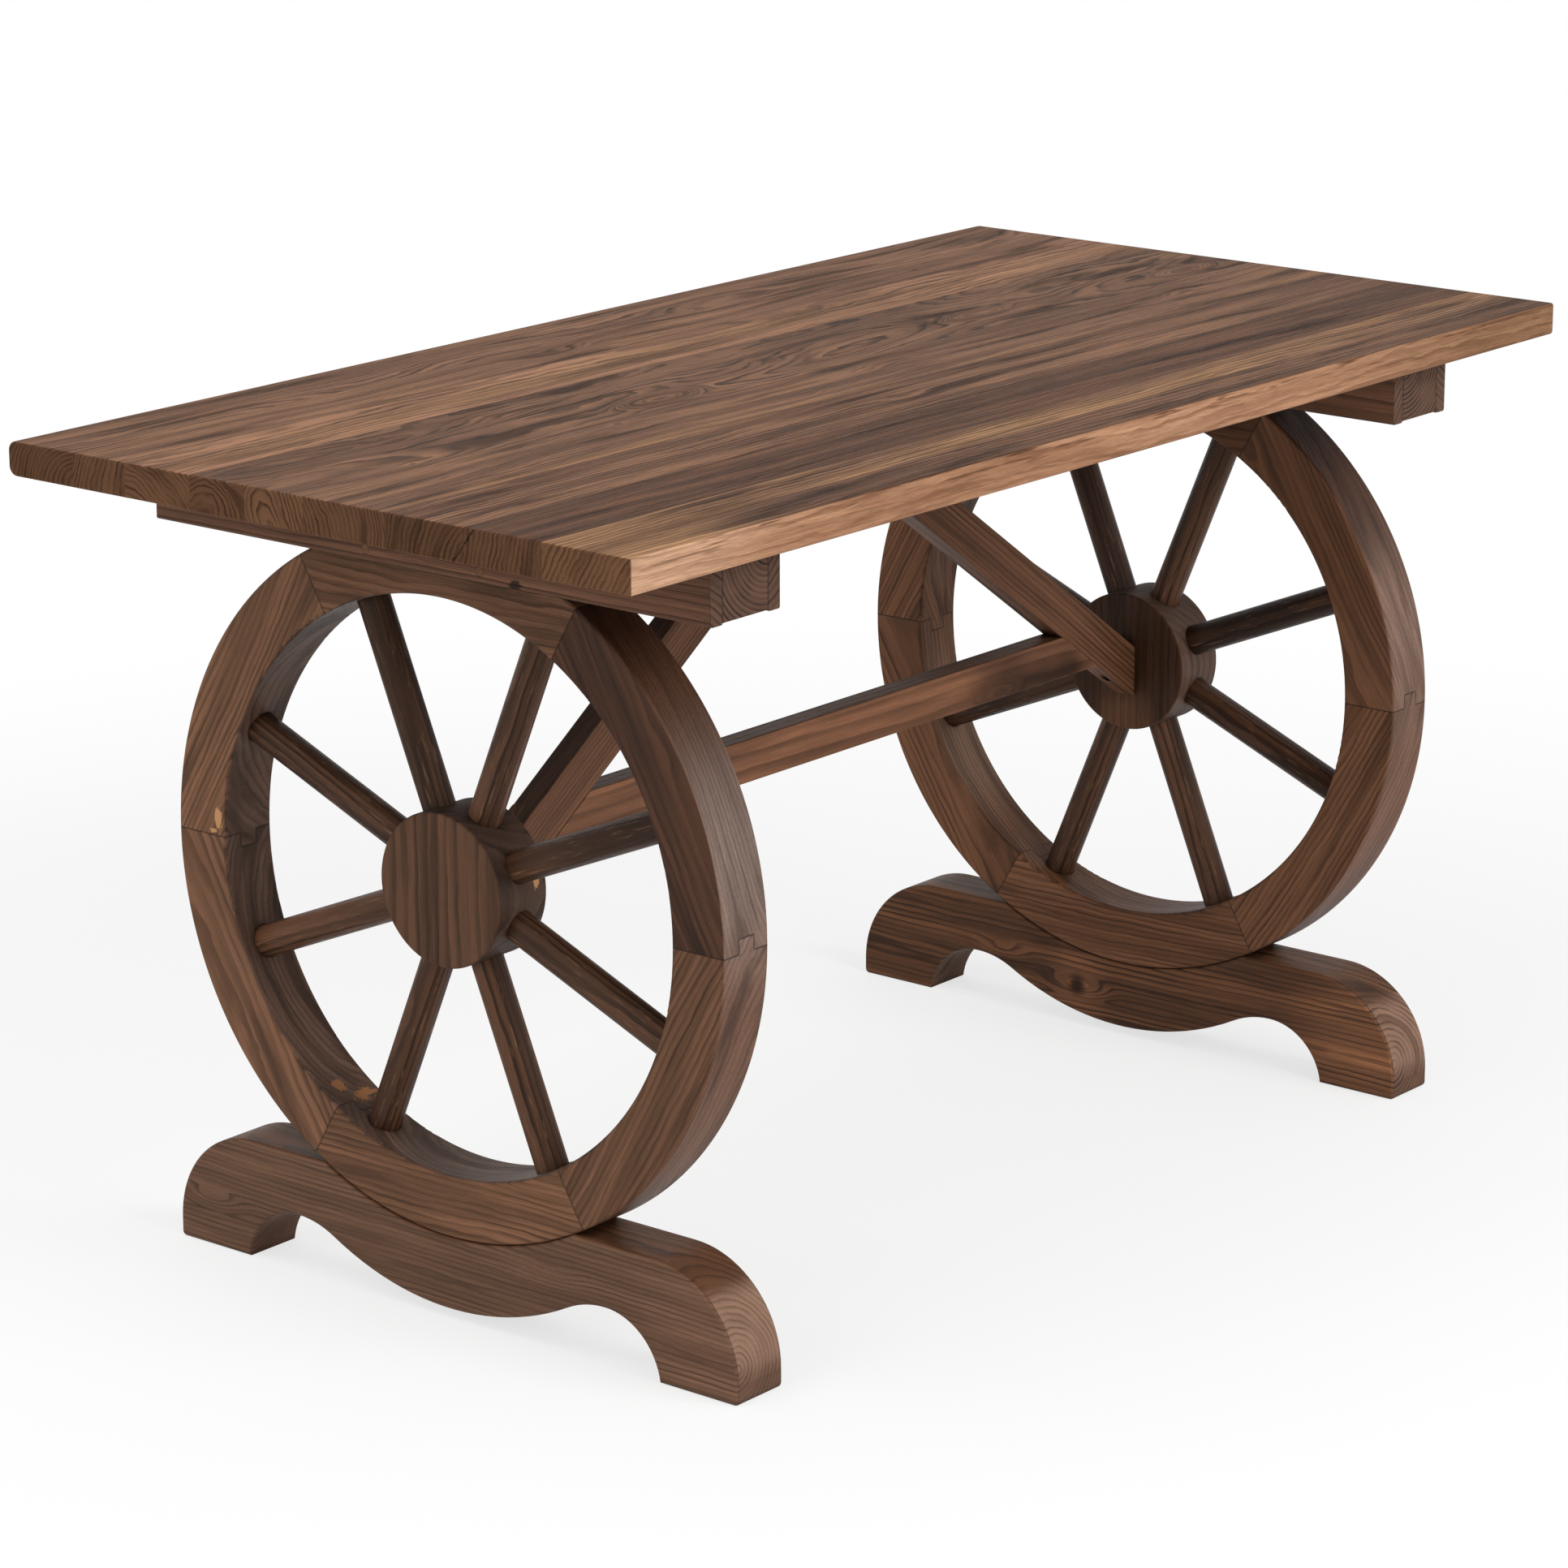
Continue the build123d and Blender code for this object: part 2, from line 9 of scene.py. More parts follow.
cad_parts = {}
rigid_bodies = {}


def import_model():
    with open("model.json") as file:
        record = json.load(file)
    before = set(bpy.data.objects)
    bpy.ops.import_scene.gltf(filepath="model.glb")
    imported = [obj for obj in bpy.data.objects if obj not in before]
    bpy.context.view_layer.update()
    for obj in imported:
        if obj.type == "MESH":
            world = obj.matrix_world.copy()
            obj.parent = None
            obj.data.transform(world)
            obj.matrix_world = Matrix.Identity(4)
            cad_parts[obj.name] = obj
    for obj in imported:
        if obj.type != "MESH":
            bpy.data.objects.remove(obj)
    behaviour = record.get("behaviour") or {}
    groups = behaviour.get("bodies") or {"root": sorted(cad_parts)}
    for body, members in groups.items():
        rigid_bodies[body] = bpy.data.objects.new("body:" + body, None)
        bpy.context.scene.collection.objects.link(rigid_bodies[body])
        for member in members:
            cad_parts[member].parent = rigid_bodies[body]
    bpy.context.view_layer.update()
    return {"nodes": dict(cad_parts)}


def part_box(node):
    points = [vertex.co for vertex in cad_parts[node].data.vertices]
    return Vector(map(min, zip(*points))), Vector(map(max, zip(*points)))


MILLIMETRE = 0.001

# ------------------------------------------------------------------ camera
CAMERA_PLACE = (-3.71762, -2.96407, 1.70501)
CAMERA_HEADING = 50.944  # degrees from +Y towards +X
CAMERA_TILT = -15.774
CAMERA_ROLL = -0.077
CAMERA_LENS = 123.92  # millimetres, as is the width of the sensor
CAMERA_SENSOR = 36.0
CAMERA_REACH = 50.0  # metres, beyond which the camera sees nothing

# ------------------------------------------------------------------ light
ROOM_LIGHT = 0.55  # strength of the white room that lights the object
# name, place, point that it is turned towards, width, height, power
SOFTBOXES = [
    ("key_light", (0.2, -3.7, 2.5), (0.0, 0.0, 0.5), 2.6, 2.0, 118.0),
    ("fill_light", (-3.8, 0.4, 1.8), (-0.3, 0.0, 0.4), 2.0, 2.0, 30.0),
    ("top_light", (-1.3, 0.7, 2.7), (-0.5, 0.0, 0.7), 2.0, 2.0, 20.0),
]
FLOOR_GREY = 244
FLOOR_REACH = 30.0  # half the floor's width
FLOOR_VEIL = 0.7  # share of plain white in the floor that the camera sees round the table
FLOOR_NEAR = 0.9  # from here to there the floor fades to the white of the backdrop
FLOOR_FAR = 2.2

# ------------------------------------------------------------------ the table's own measures, in metres
TOP_HEIGHT = 0.75
AXLE_HEIGHT = 0.384
RIM_MIDDLE = 0.282
FELLOE_ANGLE = 60.0
SPOKE_ANGLE = 45.0
SIDES = {"left": -1, "right": 1}

# ------------------------------------------------------------------ directions
ALONG = (1, 0, 0)
ACROSS = (0, 1, 0)
UP = (0, 0, 1)
FRONT = (0, -1, 0)
LEFT = (-1, 0, 0)


# ------------------------------------------------------------------ colours
def linear(channel):
    """One display channel from 0 to 255 as linear light."""
    share = channel / 255
    if share <= 0.04045:
        return share / 12.92
    return ((share + 0.055) / 1.055) ** 2.4


def colour(red, green, blue):
    """A display colour as the four linear numbers that Blender's sockets take."""
    return (linear(red), linear(green), linear(blue), 1.0)


Palette = namedtuple("Palette", "pale deep late char")


def paints(*display_colours):
    """A wood's four paints: pale and deep wood, the late wood's lines and the scorched places."""
    return Palette(*(colour(*channels) for channels in display_colours))


def shaded(palette, factor):
    """The same palette darker, or lighter where the factor is above 1: a stain laid on thicker or thinner,
    and in places painted light and shade.
    """
    return Palette(*(tuple(channel * factor for channel in paint[:3]) + (1.0,) for paint in palette))


# ------------------------------------------------------------------ node graphs
class Graph:
    """Adds shader nodes to a tree. An input is a number, a tuple or another node's output."""

    def __init__(self, tree):
        self.tree = tree

    def feed(self, socket, value):
        if isinstance(value, bpy.types.NodeSocket):
            self.tree.links.new(value, socket)
        else:
            socket.default_value = value

    def add(self, kind, inputs=(), **settings):
        node = self.tree.nodes.new(kind)
        for name, value in settings.items():
            setattr(node, name, value)
        for key, value in dict(inputs).items():
            self.feed(node.inputs[key], value)
        return node

    def math(self, operation, *values, clamp=False):
        inputs = dict(enumerate(values))
        return self.add("ShaderNodeMath", inputs, operation=operation, use_clamp=clamp).outputs[0]

    def vector(self, operation, *values):
        node = self.add("ShaderNodeVectorMath", dict(enumerate(values)), operation=operation)
        scalar = operation in ("DOT_PRODUCT", "LENGTH", "DISTANCE")
        return node.outputs["Value" if scalar else "Vector"]

    def noise(self, vector, size, detail=2.0, rough=0.5):
        """A noise whose blobs have a length along each axis."""
        scaled = self.vector("MULTIPLY", vector, tuple(1 / length for length in size))
        inputs = {"Vector": scaled, "Scale": 1.0, "Detail": detail, "Roughness": rough}
        return self.add("ShaderNodeTexNoise", inputs).outputs

    def blobs(self, vector, size, detail=2.0, rough=0.5):
        """The same as one number from 0 to 1."""
        return self.noise(vector, size, detail, rough)["Fac"]

    def step(self, value, low, high):
        """A smooth climb from 0 at low to 1 at high, or the other way where low is above high."""
        inputs = {"Value": value, "From Min": low, "From Max": high}
        return self.add("ShaderNodeMapRange", inputs, interpolation_type="SMOOTHSTEP").outputs[0]

    def span(self, value, low, high):
        """A value from 0 to 1 laid out between low and high."""
        inputs = {"Value": value, "To Min": low, "To Max": high}
        return self.add("ShaderNodeMapRange", inputs).outputs[0]

    def mix(self, share, first, second, blend="MIX"):
        node = self.add("ShaderNodeMix", data_type="RGBA", blend_type=blend)
        for socket, value in ((node.inputs[0], share), (node.inputs[6], first), (node.inputs[7], second)):
            self.feed(socket, value)
        return node.outputs[2]

    def darken(self, share, paint):
        """The paint multiplied by a grey."""
        return self.mix(1.0, paint, self.combine(share, share, share), "MULTIPLY")

    def combine(self, x, y, z):
        return self.add("ShaderNodeCombineXYZ", {0: x, 1: y, 2: z}).outputs[0]

    def split(self, vector):
        return self.add("ShaderNodeSeparateXYZ", {0: vector}).outputs


def new_group(name, inputs, outputs):
    """An empty node group with named sockets, and its graph, input sockets and output node."""
    tree = bpy.data.node_groups.new(name, "ShaderNodeTree")
    for socket_name, kind, default in inputs:
        socket = tree.interface.new_socket(socket_name, in_out="INPUT", socket_type=kind)
        socket.default_value = default
    for socket_name, kind in outputs:
        tree.interface.new_socket(socket_name, in_out="OUTPUT", socket_type=kind)
    graph = Graph(tree)
    entry = graph.add("NodeGroupInput").outputs
    return graph, entry, graph.add("NodeGroupOutput")


# ------------------------------------------------------------------ solid wood
NUMBER, VECTOR, PAINT = "NodeSocketFloat", "NodeSocketVector", "NodeSocketColor"
TIMBER_INPUTS = [
    ("Place", VECTOR, (0, 0, 0)),  # millimetres, X along the grain
    ("Seed", VECTOR, (0, 0, 0)),
    ("Pith", VECTOR, (0, 0, 0)),  # where the heart of the tree runs
    ("Spacing", NUMBER, 5.0),  # between growth rings
    ("Wander", NUMBER, 10.0),  # how far the rings sway along the board
    ("Ripple", NUMBER, 1.0),
    ("Lines", NUMBER, 0.6),  # strength of the latewood
    ("Streaks", NUMBER, 0.5),
    ("Scorch", NUMBER, 0.3),
    ("Fibre", NUMBER, 0.3),
    ("End", NUMBER, 0.0),  # 1 on a cut end
    ("Pale", PAINT, (1, 1, 1, 1)),
    ("Deep", PAINT, (1, 1, 1, 1)),
    ("Late", PAINT, (1, 1, 1, 1)),
    ("Char", PAINT, (1, 1, 1, 1)),
]
TIMBER_OUTPUTS = [("Colour", PAINT), ("Height", NUMBER), ("Rough", NUMBER)]

# the size of each pattern's blobs in millimetres: along the grain, across the board and into it
SWAY_SIZE = (360, 95, 95)
RIPPLE_SIZE = (55, 15, 15)
LATE_PATCH_SIZE = (150, 24, 24)
FIBRE_SIZE = (60, 1.0, 1.0)
PORE_SIZE = (14, 0.5, 0.5)
# and of those that follow the rings: along the grain, out from the pith and round it
STREAK_SIZE = (330, 13, 60)
THREAD_SIZE = (200, 3.4, 24)
SCORCH_SIZE = (220, 14, 50)
ROUND_TURN = 0.7  # how fast those change round the pith


def ring_distance(graph, entry, place):
    """How far a point lies from the pith, once the trunk's sway and ripples are added."""
    sway = graph.noise(place, SWAY_SIZE, detail=1.0)["Color"]
    shift = graph.vector("SUBTRACT", sway, (0.5, 0.5, 0.5))
    shift = graph.vector("MULTIPLY", shift, graph.combine(0.0, entry["Wander"], entry["Wander"]))
    moved = graph.vector("ADD", entry["Place"], shift)
    moved = graph.vector("SUBTRACT", moved, entry["Pith"])
    moved = graph.vector("MULTIPLY", moved, (0, 1, 1))
    distance = graph.vector("LENGTH", moved)
    ripple = graph.blobs(place, RIPPLE_SIZE)
    ripple = graph.math("SUBTRACT", ripple, 0.5)
    return graph.math("MULTIPLY_ADD", ripple, entry["Ripple"], distance)


def latewood(graph, entry, place, distance):
    """The thin dark line that closes each growth ring, and the slow darkening that leads to it."""
    rings = graph.math("DIVIDE", distance, entry["Spacing"])
    ring = graph.math("FLOOR", rings)
    share = graph.math("SUBTRACT", rings, ring)
    own = graph.add("ShaderNodeTexWhiteNoise", {"W": ring}, noise_dimensions="1D").outputs["Value"]
    climb = graph.step(share, graph.span(own, 0.2, 0.55), 0.85)
    fall = graph.step(share, 1.0, 0.93)
    line = graph.math("MULTIPLY", climb, fall)
    patch = graph.blobs(place, LATE_PATCH_SIZE, detail=1.0)
    ring_strength = graph.span(own, 0.45, 1.1)
    patch_strength = graph.span(graph.step(patch, 0.3, 0.6), 0.4, 1.0)
    strength = graph.math("MULTIPLY", ring_strength, patch_strength)
    line = graph.math("MULTIPLY", line, strength, clamp=True)
    return line, graph.math("MULTIPLY", share, strength, clamp=True)


def along_rings(graph, place, distance):
    """A place told by its length along the grain and its ring, so that a noise follows the figure."""
    axes = graph.split(place)
    drift = graph.math("MULTIPLY", graph.math("ADD", axes[1], axes[2]), ROUND_TURN)
    return graph.combine(axes[0], distance, drift)


def streaking(graph, entry, flow):
    """Broad soft bands and fine threads along the grain, as a lightness about one half."""
    band = graph.blobs(flow, STREAK_SIZE)
    thread = graph.blobs(flow, THREAD_SIZE, rough=0.6)
    band = graph.math("SUBTRACT", graph.step(band, 0.36, 0.64), 0.5)
    thread = graph.math("SUBTRACT", graph.step(thread, 0.36, 0.64), 0.5)
    both = graph.math("MULTIPLY_ADD", thread, 0.4, band)
    side = graph.math("SUBTRACT", 1.0, graph.math("MULTIPLY", entry["End"], 0.75))
    both = graph.math("MULTIPLY", both, graph.math("MULTIPLY", entry["Streaks"], side))
    return graph.math("ADD", both, 0.5, clamp=True)


def fibres(graph, place):
    """Fine fibres and open pores, from 0 to 1."""
    fibre = graph.blobs(place, FIBRE_SIZE, rough=0.65)
    pores = graph.blobs(place, PORE_SIZE, detail=1.0)
    both = graph.math("MULTIPLY_ADD", pores, 0.4, graph.math("MULTIPLY", fibre, 0.6))
    return graph.step(both, 0.3, 0.7)


def make_timber_group():
    """Solid wood: rings round a pith, long streaks, scorched patches and fine fibres."""
    graph, entry, leave = new_group("timber", TIMBER_INPUTS, TIMBER_OUTPUTS)
    place = graph.vector("ADD", entry["Place"], entry["Seed"])
    distance = ring_distance(graph, entry, place)
    flow = along_rings(graph, place, distance)
    line, ramp = latewood(graph, entry, place, distance)
    paint = graph.mix(streaking(graph, entry, flow), entry["Deep"], entry["Pale"])
    paint = graph.mix(graph.math("MULTIPLY", ramp, 0.5), paint, entry["Deep"])
    paint = graph.mix(graph.math("MULTIPLY", line, entry["Lines"]), paint, entry["Late"])
    scorch = graph.blobs(flow, SCORCH_SIZE, detail=3.0)
    scorch = graph.math("MULTIPLY", graph.step(scorch, 0.52, 0.7), entry["Scorch"])
    paint = graph.mix(scorch, paint, entry["Char"])
    grain = fibres(graph, place)
    light = graph.math("MULTIPLY_ADD", graph.math("SUBTRACT", grain, 0.5), entry["Fibre"], 1.0)
    graph.feed(leave.inputs["Colour"], graph.darken(light, paint))
    height = graph.math("MULTIPLY_ADD", line, 0.6, graph.math("MULTIPLY", grain, 0.5))
    graph.feed(leave.inputs["Height"], height)
    rough = graph.math("MULTIPLY_ADD", grain, 0.14, graph.math("MULTIPLY", scorch, 0.1))
    graph.feed(leave.inputs["Rough"], rough)
    return graph.tree


# ------------------------------------------------------------------ boards and their materials
Figure = namedtuple("Figure", "spacing wander ripple lines streaks scorch fibre")
Wood = namedtuple("Wood", "palette figure pith seed")
Finish = namedtuple("Finish", "rough mirror bump")  # mirror is 0.5 for lacquer, less for oil
OILED = Finish(0.36, 0.08, 0.6)
WAXED_TOP = Finish(0.36, 0.02, 1.0)
POLISHED_SPOKE = Finish(0.28, 0.1, 0.6)
SAWN_BOARD = Finish(0.4, 0.1, 0.7)
SEED_STRIDE = (731.0, 173.0, 297.0)  # how far one step of the seed moves the timber, in millimetres
ARRIS_RADIUS = 1.5 * MILLIMETRE
# how far the painted shade in the corners reaches
CORNER_SHADE_REACH = 12 * MILLIMETRE


class Board:
    """One piece of timber: its middle, the way its grain runs and the way its broad face looks."""

    def __init__(self, name, origin, along, facing):
        self.name = name
        self.origin = Vector(origin)
        self.along = Vector(along).normalized()
        self.across = Vector(facing).cross(self.along).normalized()
        self.facing = self.along.cross(self.across)

    def rotation(self):
        """From the board's own axes, X along the grain and Z out of its face, to the world."""
        return Matrix((self.along, self.across, self.facing)).transposed().to_euler()

    def local(self, point):
        """A point of the world, in the board's own millimetres."""
        offset = Vector(point) - self.origin
        return tuple(offset.dot(axis) / MILLIMETRE for axis in (self.along, self.across, self.facing))


class Surface:
    """A board's material while it is built up. Shapers act before the timber group, marks after it."""

    def __init__(self, graph, board, wood):
        self.graph = graph
        self.board = board
        self.position = graph.add("ShaderNodeTexCoord").outputs["Object"]
        self.normal = graph.add("ShaderNodeNewGeometry").outputs["Normal"]
        self.rounded = graph.add("ShaderNodeBevel", {"Radius": ARRIS_RADIUS}, samples=4).outputs[0]
        self.turn = graph.vector("SUBTRACT", self.rounded, self.normal)
        placing = {
            "Vector": self.position,
            "Location": board.origin,
            "Rotation": board.rotation(),
            "Scale": (MILLIMETRE, MILLIMETRE, MILLIMETRE),
        }
        self.place = graph.add("ShaderNodeMapping", placing, vector_type="TEXTURE").outputs[0]
        self.palette = wood.palette
        self.core = None
        self.end = self.faced(board.along, 0.45, 0.9)
        self.rough = None
        self.paint = None

    def faced(self, direction, low, high):
        """1 where the surface looks along a direction or against it."""
        facing = self.graph.vector("DOT_PRODUCT", self.normal, tuple(direction))
        return self.graph.step(self.graph.math("ABSOLUTE", facing), low, high)

    def looks(self, direction, low=0.35, high=0.8):
        """1 where the surface looks along a direction, 0 where it looks away."""
        return self.graph.step(self.graph.vector("DOT_PRODUCT", self.normal, tuple(direction)), low, high)

    def from_point(self, point, size, length):
        """The way from a point of the world, and how many sizes long it is in a figure drawn out along
        the board."""
        x, y, _ = self.board.local(point)
        offset = self.graph.vector("SUBTRACT", self.place, (x, y, 0.0))
        flat = self.graph.vector("MULTIPLY", offset, (1 / (length * size), 1 / size, 0.0))
        return offset, self.graph.vector("LENGTH", flat)

    def repaint(self, share, palette):
        """Another stain, or painted light and shade, over a share of the surface."""
        pairs = zip(self.palette, palette)
        self.palette = Palette(*(self.graph.mix(share, old, new) for old, new in pairs))


def timber_material(group, board, wood, shapers=(), marks=(), finish=OILED):
    """A satin wood whose grain follows the board that the piece was cut from."""
    material = bpy.data.materials.new(board.name)
    material.use_nodes = True
    material.node_tree.nodes.clear()
    graph = Graph(material.node_tree)
    surface = Surface(graph, board, wood)
    for shaper in shapers:
        shaper(surface)
    settings = {
        "Place": surface.place,
        "Seed": tuple(wood.seed * stride for stride in SEED_STRIDE),
        "Pith": (0.0, *wood.pith),
        "End": surface.end,
    }
    for values in (wood.figure, surface.palette):
        settings.update((name.capitalize(), value) for name, value in values._asdict().items())
    timber = graph.add("ShaderNodeGroup", settings, node_tree=group)
    surface.paint = timber.outputs["Colour"]
    surface.rough = graph.math("ADD", timber.outputs["Rough"], finish.rough)
    cut_ends(surface)
    for mark in marks:
        mark(surface)
    # painted shade in the corners where pieces meet
    painted_corner_shade(surface)
    relief = {"Strength": finish.bump, "Distance": MILLIMETRE, "Height": timber.outputs["Height"]}
    relief["Normal"] = surface.rounded
    normal = graph.add("ShaderNodeBump", relief).outputs[0]
    coat = {"Base Color": surface.paint, "Roughness": surface.rough, "Normal": normal}
    coat["Specular IOR Level"] = finish.mirror
    shader = graph.add("ShaderNodeBsdfPrincipled", coat)
    graph.add("ShaderNodeOutputMaterial", {"Surface": shader.outputs[0]})
    return material


def cut_ends(surface):
    """Darkens the cut ends, which drink more stain, and dulls them."""
    graph = surface.graph
    surface.paint = graph.darken(graph.span(surface.end, 1.0, 0.8), surface.paint)
    surface.rough = graph.math("MULTIPLY_ADD", surface.end, 0.15, surface.rough)


def painted_corner_shade(surface):
    """Painted shade: darkens the corners where pieces meet, by ambient occlusion."""
    graph = surface.graph
    near = {"Distance": CORNER_SHADE_REACH}
    open_sky = graph.add("ShaderNodeAmbientOcclusion", near, samples=4).outputs["AO"]
    surface.paint = graph.darken(graph.span(graph.step(open_sky, 0.15, 0.8), 0.45, 1.0), surface.paint)


# ------------------------------------------------------------------ shapers
KNOT_LENGTH = 2.2  # how much longer a knot's figure is than wide
EYE_LENGTH = 3.4
BAND_SWAY_SIZE = (260, 40, 40)
BAND_PATCH_SIZE = (330, 60, 60)
BAND_WOBBLE = 9.0  # how far a band's edges sway, in millimetres
BAND_FADE = 4.0  # how wide its soft edges are to either side
NOSE_CURVE = (0.89, 0.45)  # the way a foot's nose looks at its painted highlight on the upper curve: outward and up


def knot(point, size):
    """Leads the grain round a knot at a point of the world, and remembers its dark core."""
    def shape(surface):
        graph = surface.graph
        offset, reach = surface.from_point(point, size, KNOT_LENGTH)
        squeeze = graph.math("MULTIPLY", graph.step(reach, 3.0, 0.0), 0.92)
        pull = graph.math("MULTIPLY", graph.split(offset)[1], squeeze)
        surface.place = graph.vector("SUBTRACT", surface.place, graph.combine(0.0, pull, 0.0))
        core = graph.step(reach, 0.62, 0.25)
        surface.core = core if surface.core is None else graph.math("MAXIMUM", core, surface.core)
    return shape


def eye(point, size, rise):
    """Closes the rings round a point of the world, where the cut grazes a swelling of the trunk."""
    def shape(surface):
        graph = surface.graph
        _, reach = surface.from_point(point, size, EYE_LENGTH)
        hill = graph.math("MULTIPLY", graph.step(reach, 2.0, 0.0), rise)
        surface.place = graph.vector("ADD", surface.place, graph.combine(0.0, 0.0, hill))
    return shape


def long_band(low, high, palette, strength=0.9):
    """Another stain in a band along the board, between two places across it, that comes and goes."""
    def shape(surface):
        graph = surface.graph
        sway = graph.blobs(surface.place, BAND_SWAY_SIZE)
        across = graph.split(surface.place)[1]
        across = graph.math("MULTIPLY_ADD", graph.math("SUBTRACT", sway, 0.5), 2 * BAND_WOBBLE, across)
        above = graph.step(across, low - BAND_FADE, low + BAND_FADE)
        below = graph.step(across, high + BAND_FADE, high - BAND_FADE)
        inside = graph.math("MULTIPLY", above, below)
        patch = graph.blobs(surface.place, BAND_PATCH_SIZE)
        inside = graph.math("MULTIPLY", inside, graph.span(graph.step(patch, 0.58, 0.42), 0.25, strength))
        surface.repaint(inside, palette)
    return shape


def stained_ends(palette):
    """Another stain on the cut ends."""
    def shape(surface):
        surface.repaint(surface.end, palette)
    return shape


def side_stain_and_shade(direction, palette):
    """Another stain on the faces that look in one direction; on the upper faces of the stretcher and braces
    it is a painted shade.
    """
    def shape(surface):
        surface.repaint(surface.looks(direction), palette)
    return shape


def fading_side(direction, palette, axis, full, none):
    """Painted light and shade on the faces that look in one direction, fading between two places along an
    axis.
    """
    def shape(surface):
        graph = surface.graph
        fade = graph.step(graph.split(surface.position)[axis], none, full)
        surface.repaint(graph.math("MULTIPLY", surface.looks(direction), fade), palette)
    return shape


def spot(palette, point, reach, direction):
    """Another stain round a point of the world, on the faces that look in one direction; it also paints
    light, sheen and shadow.
    """
    def shape(surface):
        graph = surface.graph
        away = graph.vector("DISTANCE", surface.position, tuple(point))
        near = graph.step(away, reach, 0.2 * reach)
        surface.repaint(graph.math("MULTIPLY", surface.looks(direction), near), palette)
    return shape


def side_spot(palette, x, circle, direction):
    """A spot on a wheel or foot: its circle is told by Y and Z of the middle and by its reach."""
    y, z, reach = circle
    return spot(palette, (x, y, z), reach, direction)


def painted_nose_highlight(way):
    """A painted highlight: a paler colour on the upper curve of a foot's nose."""
    def shape(surface):
        outward, upward = NOSE_CURVE
        surface.repaint(surface.looks((0, outward * way, upward), 0.88, 0.98), NOSE_HIGHLIGHT)
    return shape


def painted_round_sheen(axis, palette):
    """A painted sheen on the round side about an axis."""
    def shape(surface):
        side = surface.graph.math("SUBTRACT", 1.0, surface.faced(axis, 0.3, 0.8))
        surface.repaint(side, palette)
    return shape


# ------------------------------------------------------------------ marks
ARRIS_PATCH_SIZE = (26, 8, 8)
EDGE_LINE_SIZE = (70, 9.0, 3.2)
FLECK_SIZE = (34, 3.2, 3.2)
CHIP_SIZE = (9, 2.5, 2.5)
CRACK_SIZE = (30, 7, 7)
JOINT_TURN = (0.015, 0.12)  # how far the rounded edge has to turn for a joint line to start and be full
JOINT_STRENGTH = 0.92
TONGUE_REACH = (18 * MILLIMETRE, 13 * MILLIMETRE)  # from the rim's middle plane: line gone, line full
EDGE_LINE_DEPTH = (0.018, 0.002)  # metres below the upper edge: lines faint, lines full


def arris_wear_and_highlight(strength, joint=None):
    """Rubs the stain thin along the arrises and paints a highlight there, but not along a joint, whose
    edges turn along one axis.
    """
    def mark(surface):
        graph = surface.graph
        turn = graph.vector("LENGTH", surface.turn)
        patch = graph.blobs(surface.place, ARRIS_PATCH_SIZE, detail=3.0)
        share = graph.math("MULTIPLY", graph.step(turn, 0.08, 0.5), graph.step(patch, 0.32, 0.66))
        share = graph.math("MULTIPLY", share, strength)
        if joint is not None:
            towards = graph.math("ABSOLUTE", graph.vector("DOT_PRODUCT", surface.turn, tuple(joint)))
            share = graph.math("MULTIPLY", share, graph.step(towards, 0.3, 0.1))
        # pale wear and a painted highlight along the arrises
        surface.paint = graph.mix(share, surface.paint, WORN_WOOD_AND_HIGHLIGHT)
    return mark


def joint_line(direction, one_way=False):
    """A dark line of glue and dirt at the edges that turn along one axis, or one way along it."""
    def mark(surface):
        graph = surface.graph
        towards = graph.vector("DOT_PRODUCT", surface.turn, tuple(direction))
        if not one_way:
            towards = graph.math("ABSOLUTE", towards)
        share = graph.math("MULTIPLY", graph.step(towards, *JOINT_TURN), JOINT_STRENGTH)
        surface.paint = graph.mix(share, surface.paint, JOINT_DIRT)
    return mark


def tongue_line(middle):
    """The same line along the sides of a rim's tongues, which lie close to the rim's middle plane."""
    def mark(surface):
        graph = surface.graph
        towards = graph.math("ABSOLUTE", graph.split(surface.turn)[0])
        beside = graph.math("SUBTRACT", graph.split(surface.position)[0], middle)
        near = graph.step(graph.math("ABSOLUTE", beside), *TONGUE_REACH)
        line = graph.step(towards, *JOINT_TURN)
        share = graph.math("MULTIPLY", line, graph.math("MULTIPLY", near, JOINT_STRENGTH))
        surface.paint = graph.mix(share, surface.paint, JOINT_DIRT)
    return mark


def edge_lines(direction, height):
    """Short thin dark lines along one side, most of them close under a height."""
    def mark(surface):
        graph = surface.graph
        line = graph.blobs(surface.place, EDGE_LINE_SIZE, rough=0.6)
        low, high = (height - depth for depth in EDGE_LINE_DEPTH)
        upper = graph.step(graph.split(surface.position)[2], low, high)
        share = graph.math("MULTIPLY", graph.step(line, 0.54, 0.64), graph.span(upper, 0.25, 0.8))
        share = graph.math("MULTIPLY", share, surface.looks(direction))
        surface.paint = graph.mix(share, surface.paint, LINE_STAIN)
    return mark


def knot_core():
    """The hard dark heart of the board's knots."""
    def mark(surface):
        graph = surface.graph
        share = graph.math("MULTIPLY", surface.core, 0.85)
        surface.paint = graph.mix(share, surface.paint, surface.palette.char)
    return mark


def rubbed_and_glinting(strength):
    """Long pale flecks where the stain has rubbed off, which also stand for painted glints."""
    def mark(surface):
        graph = surface.graph
        fleck = graph.blobs(surface.place, FLECK_SIZE, detail=3.0, rough=0.6)
        share = graph.math("MULTIPLY", graph.step(fleck, 0.6, 0.72), strength)
        # pale flecks of wear, partly painted glints
        surface.paint = graph.mix(share, surface.paint, WORN_WOOD_AND_HIGHLIGHT)
    return mark


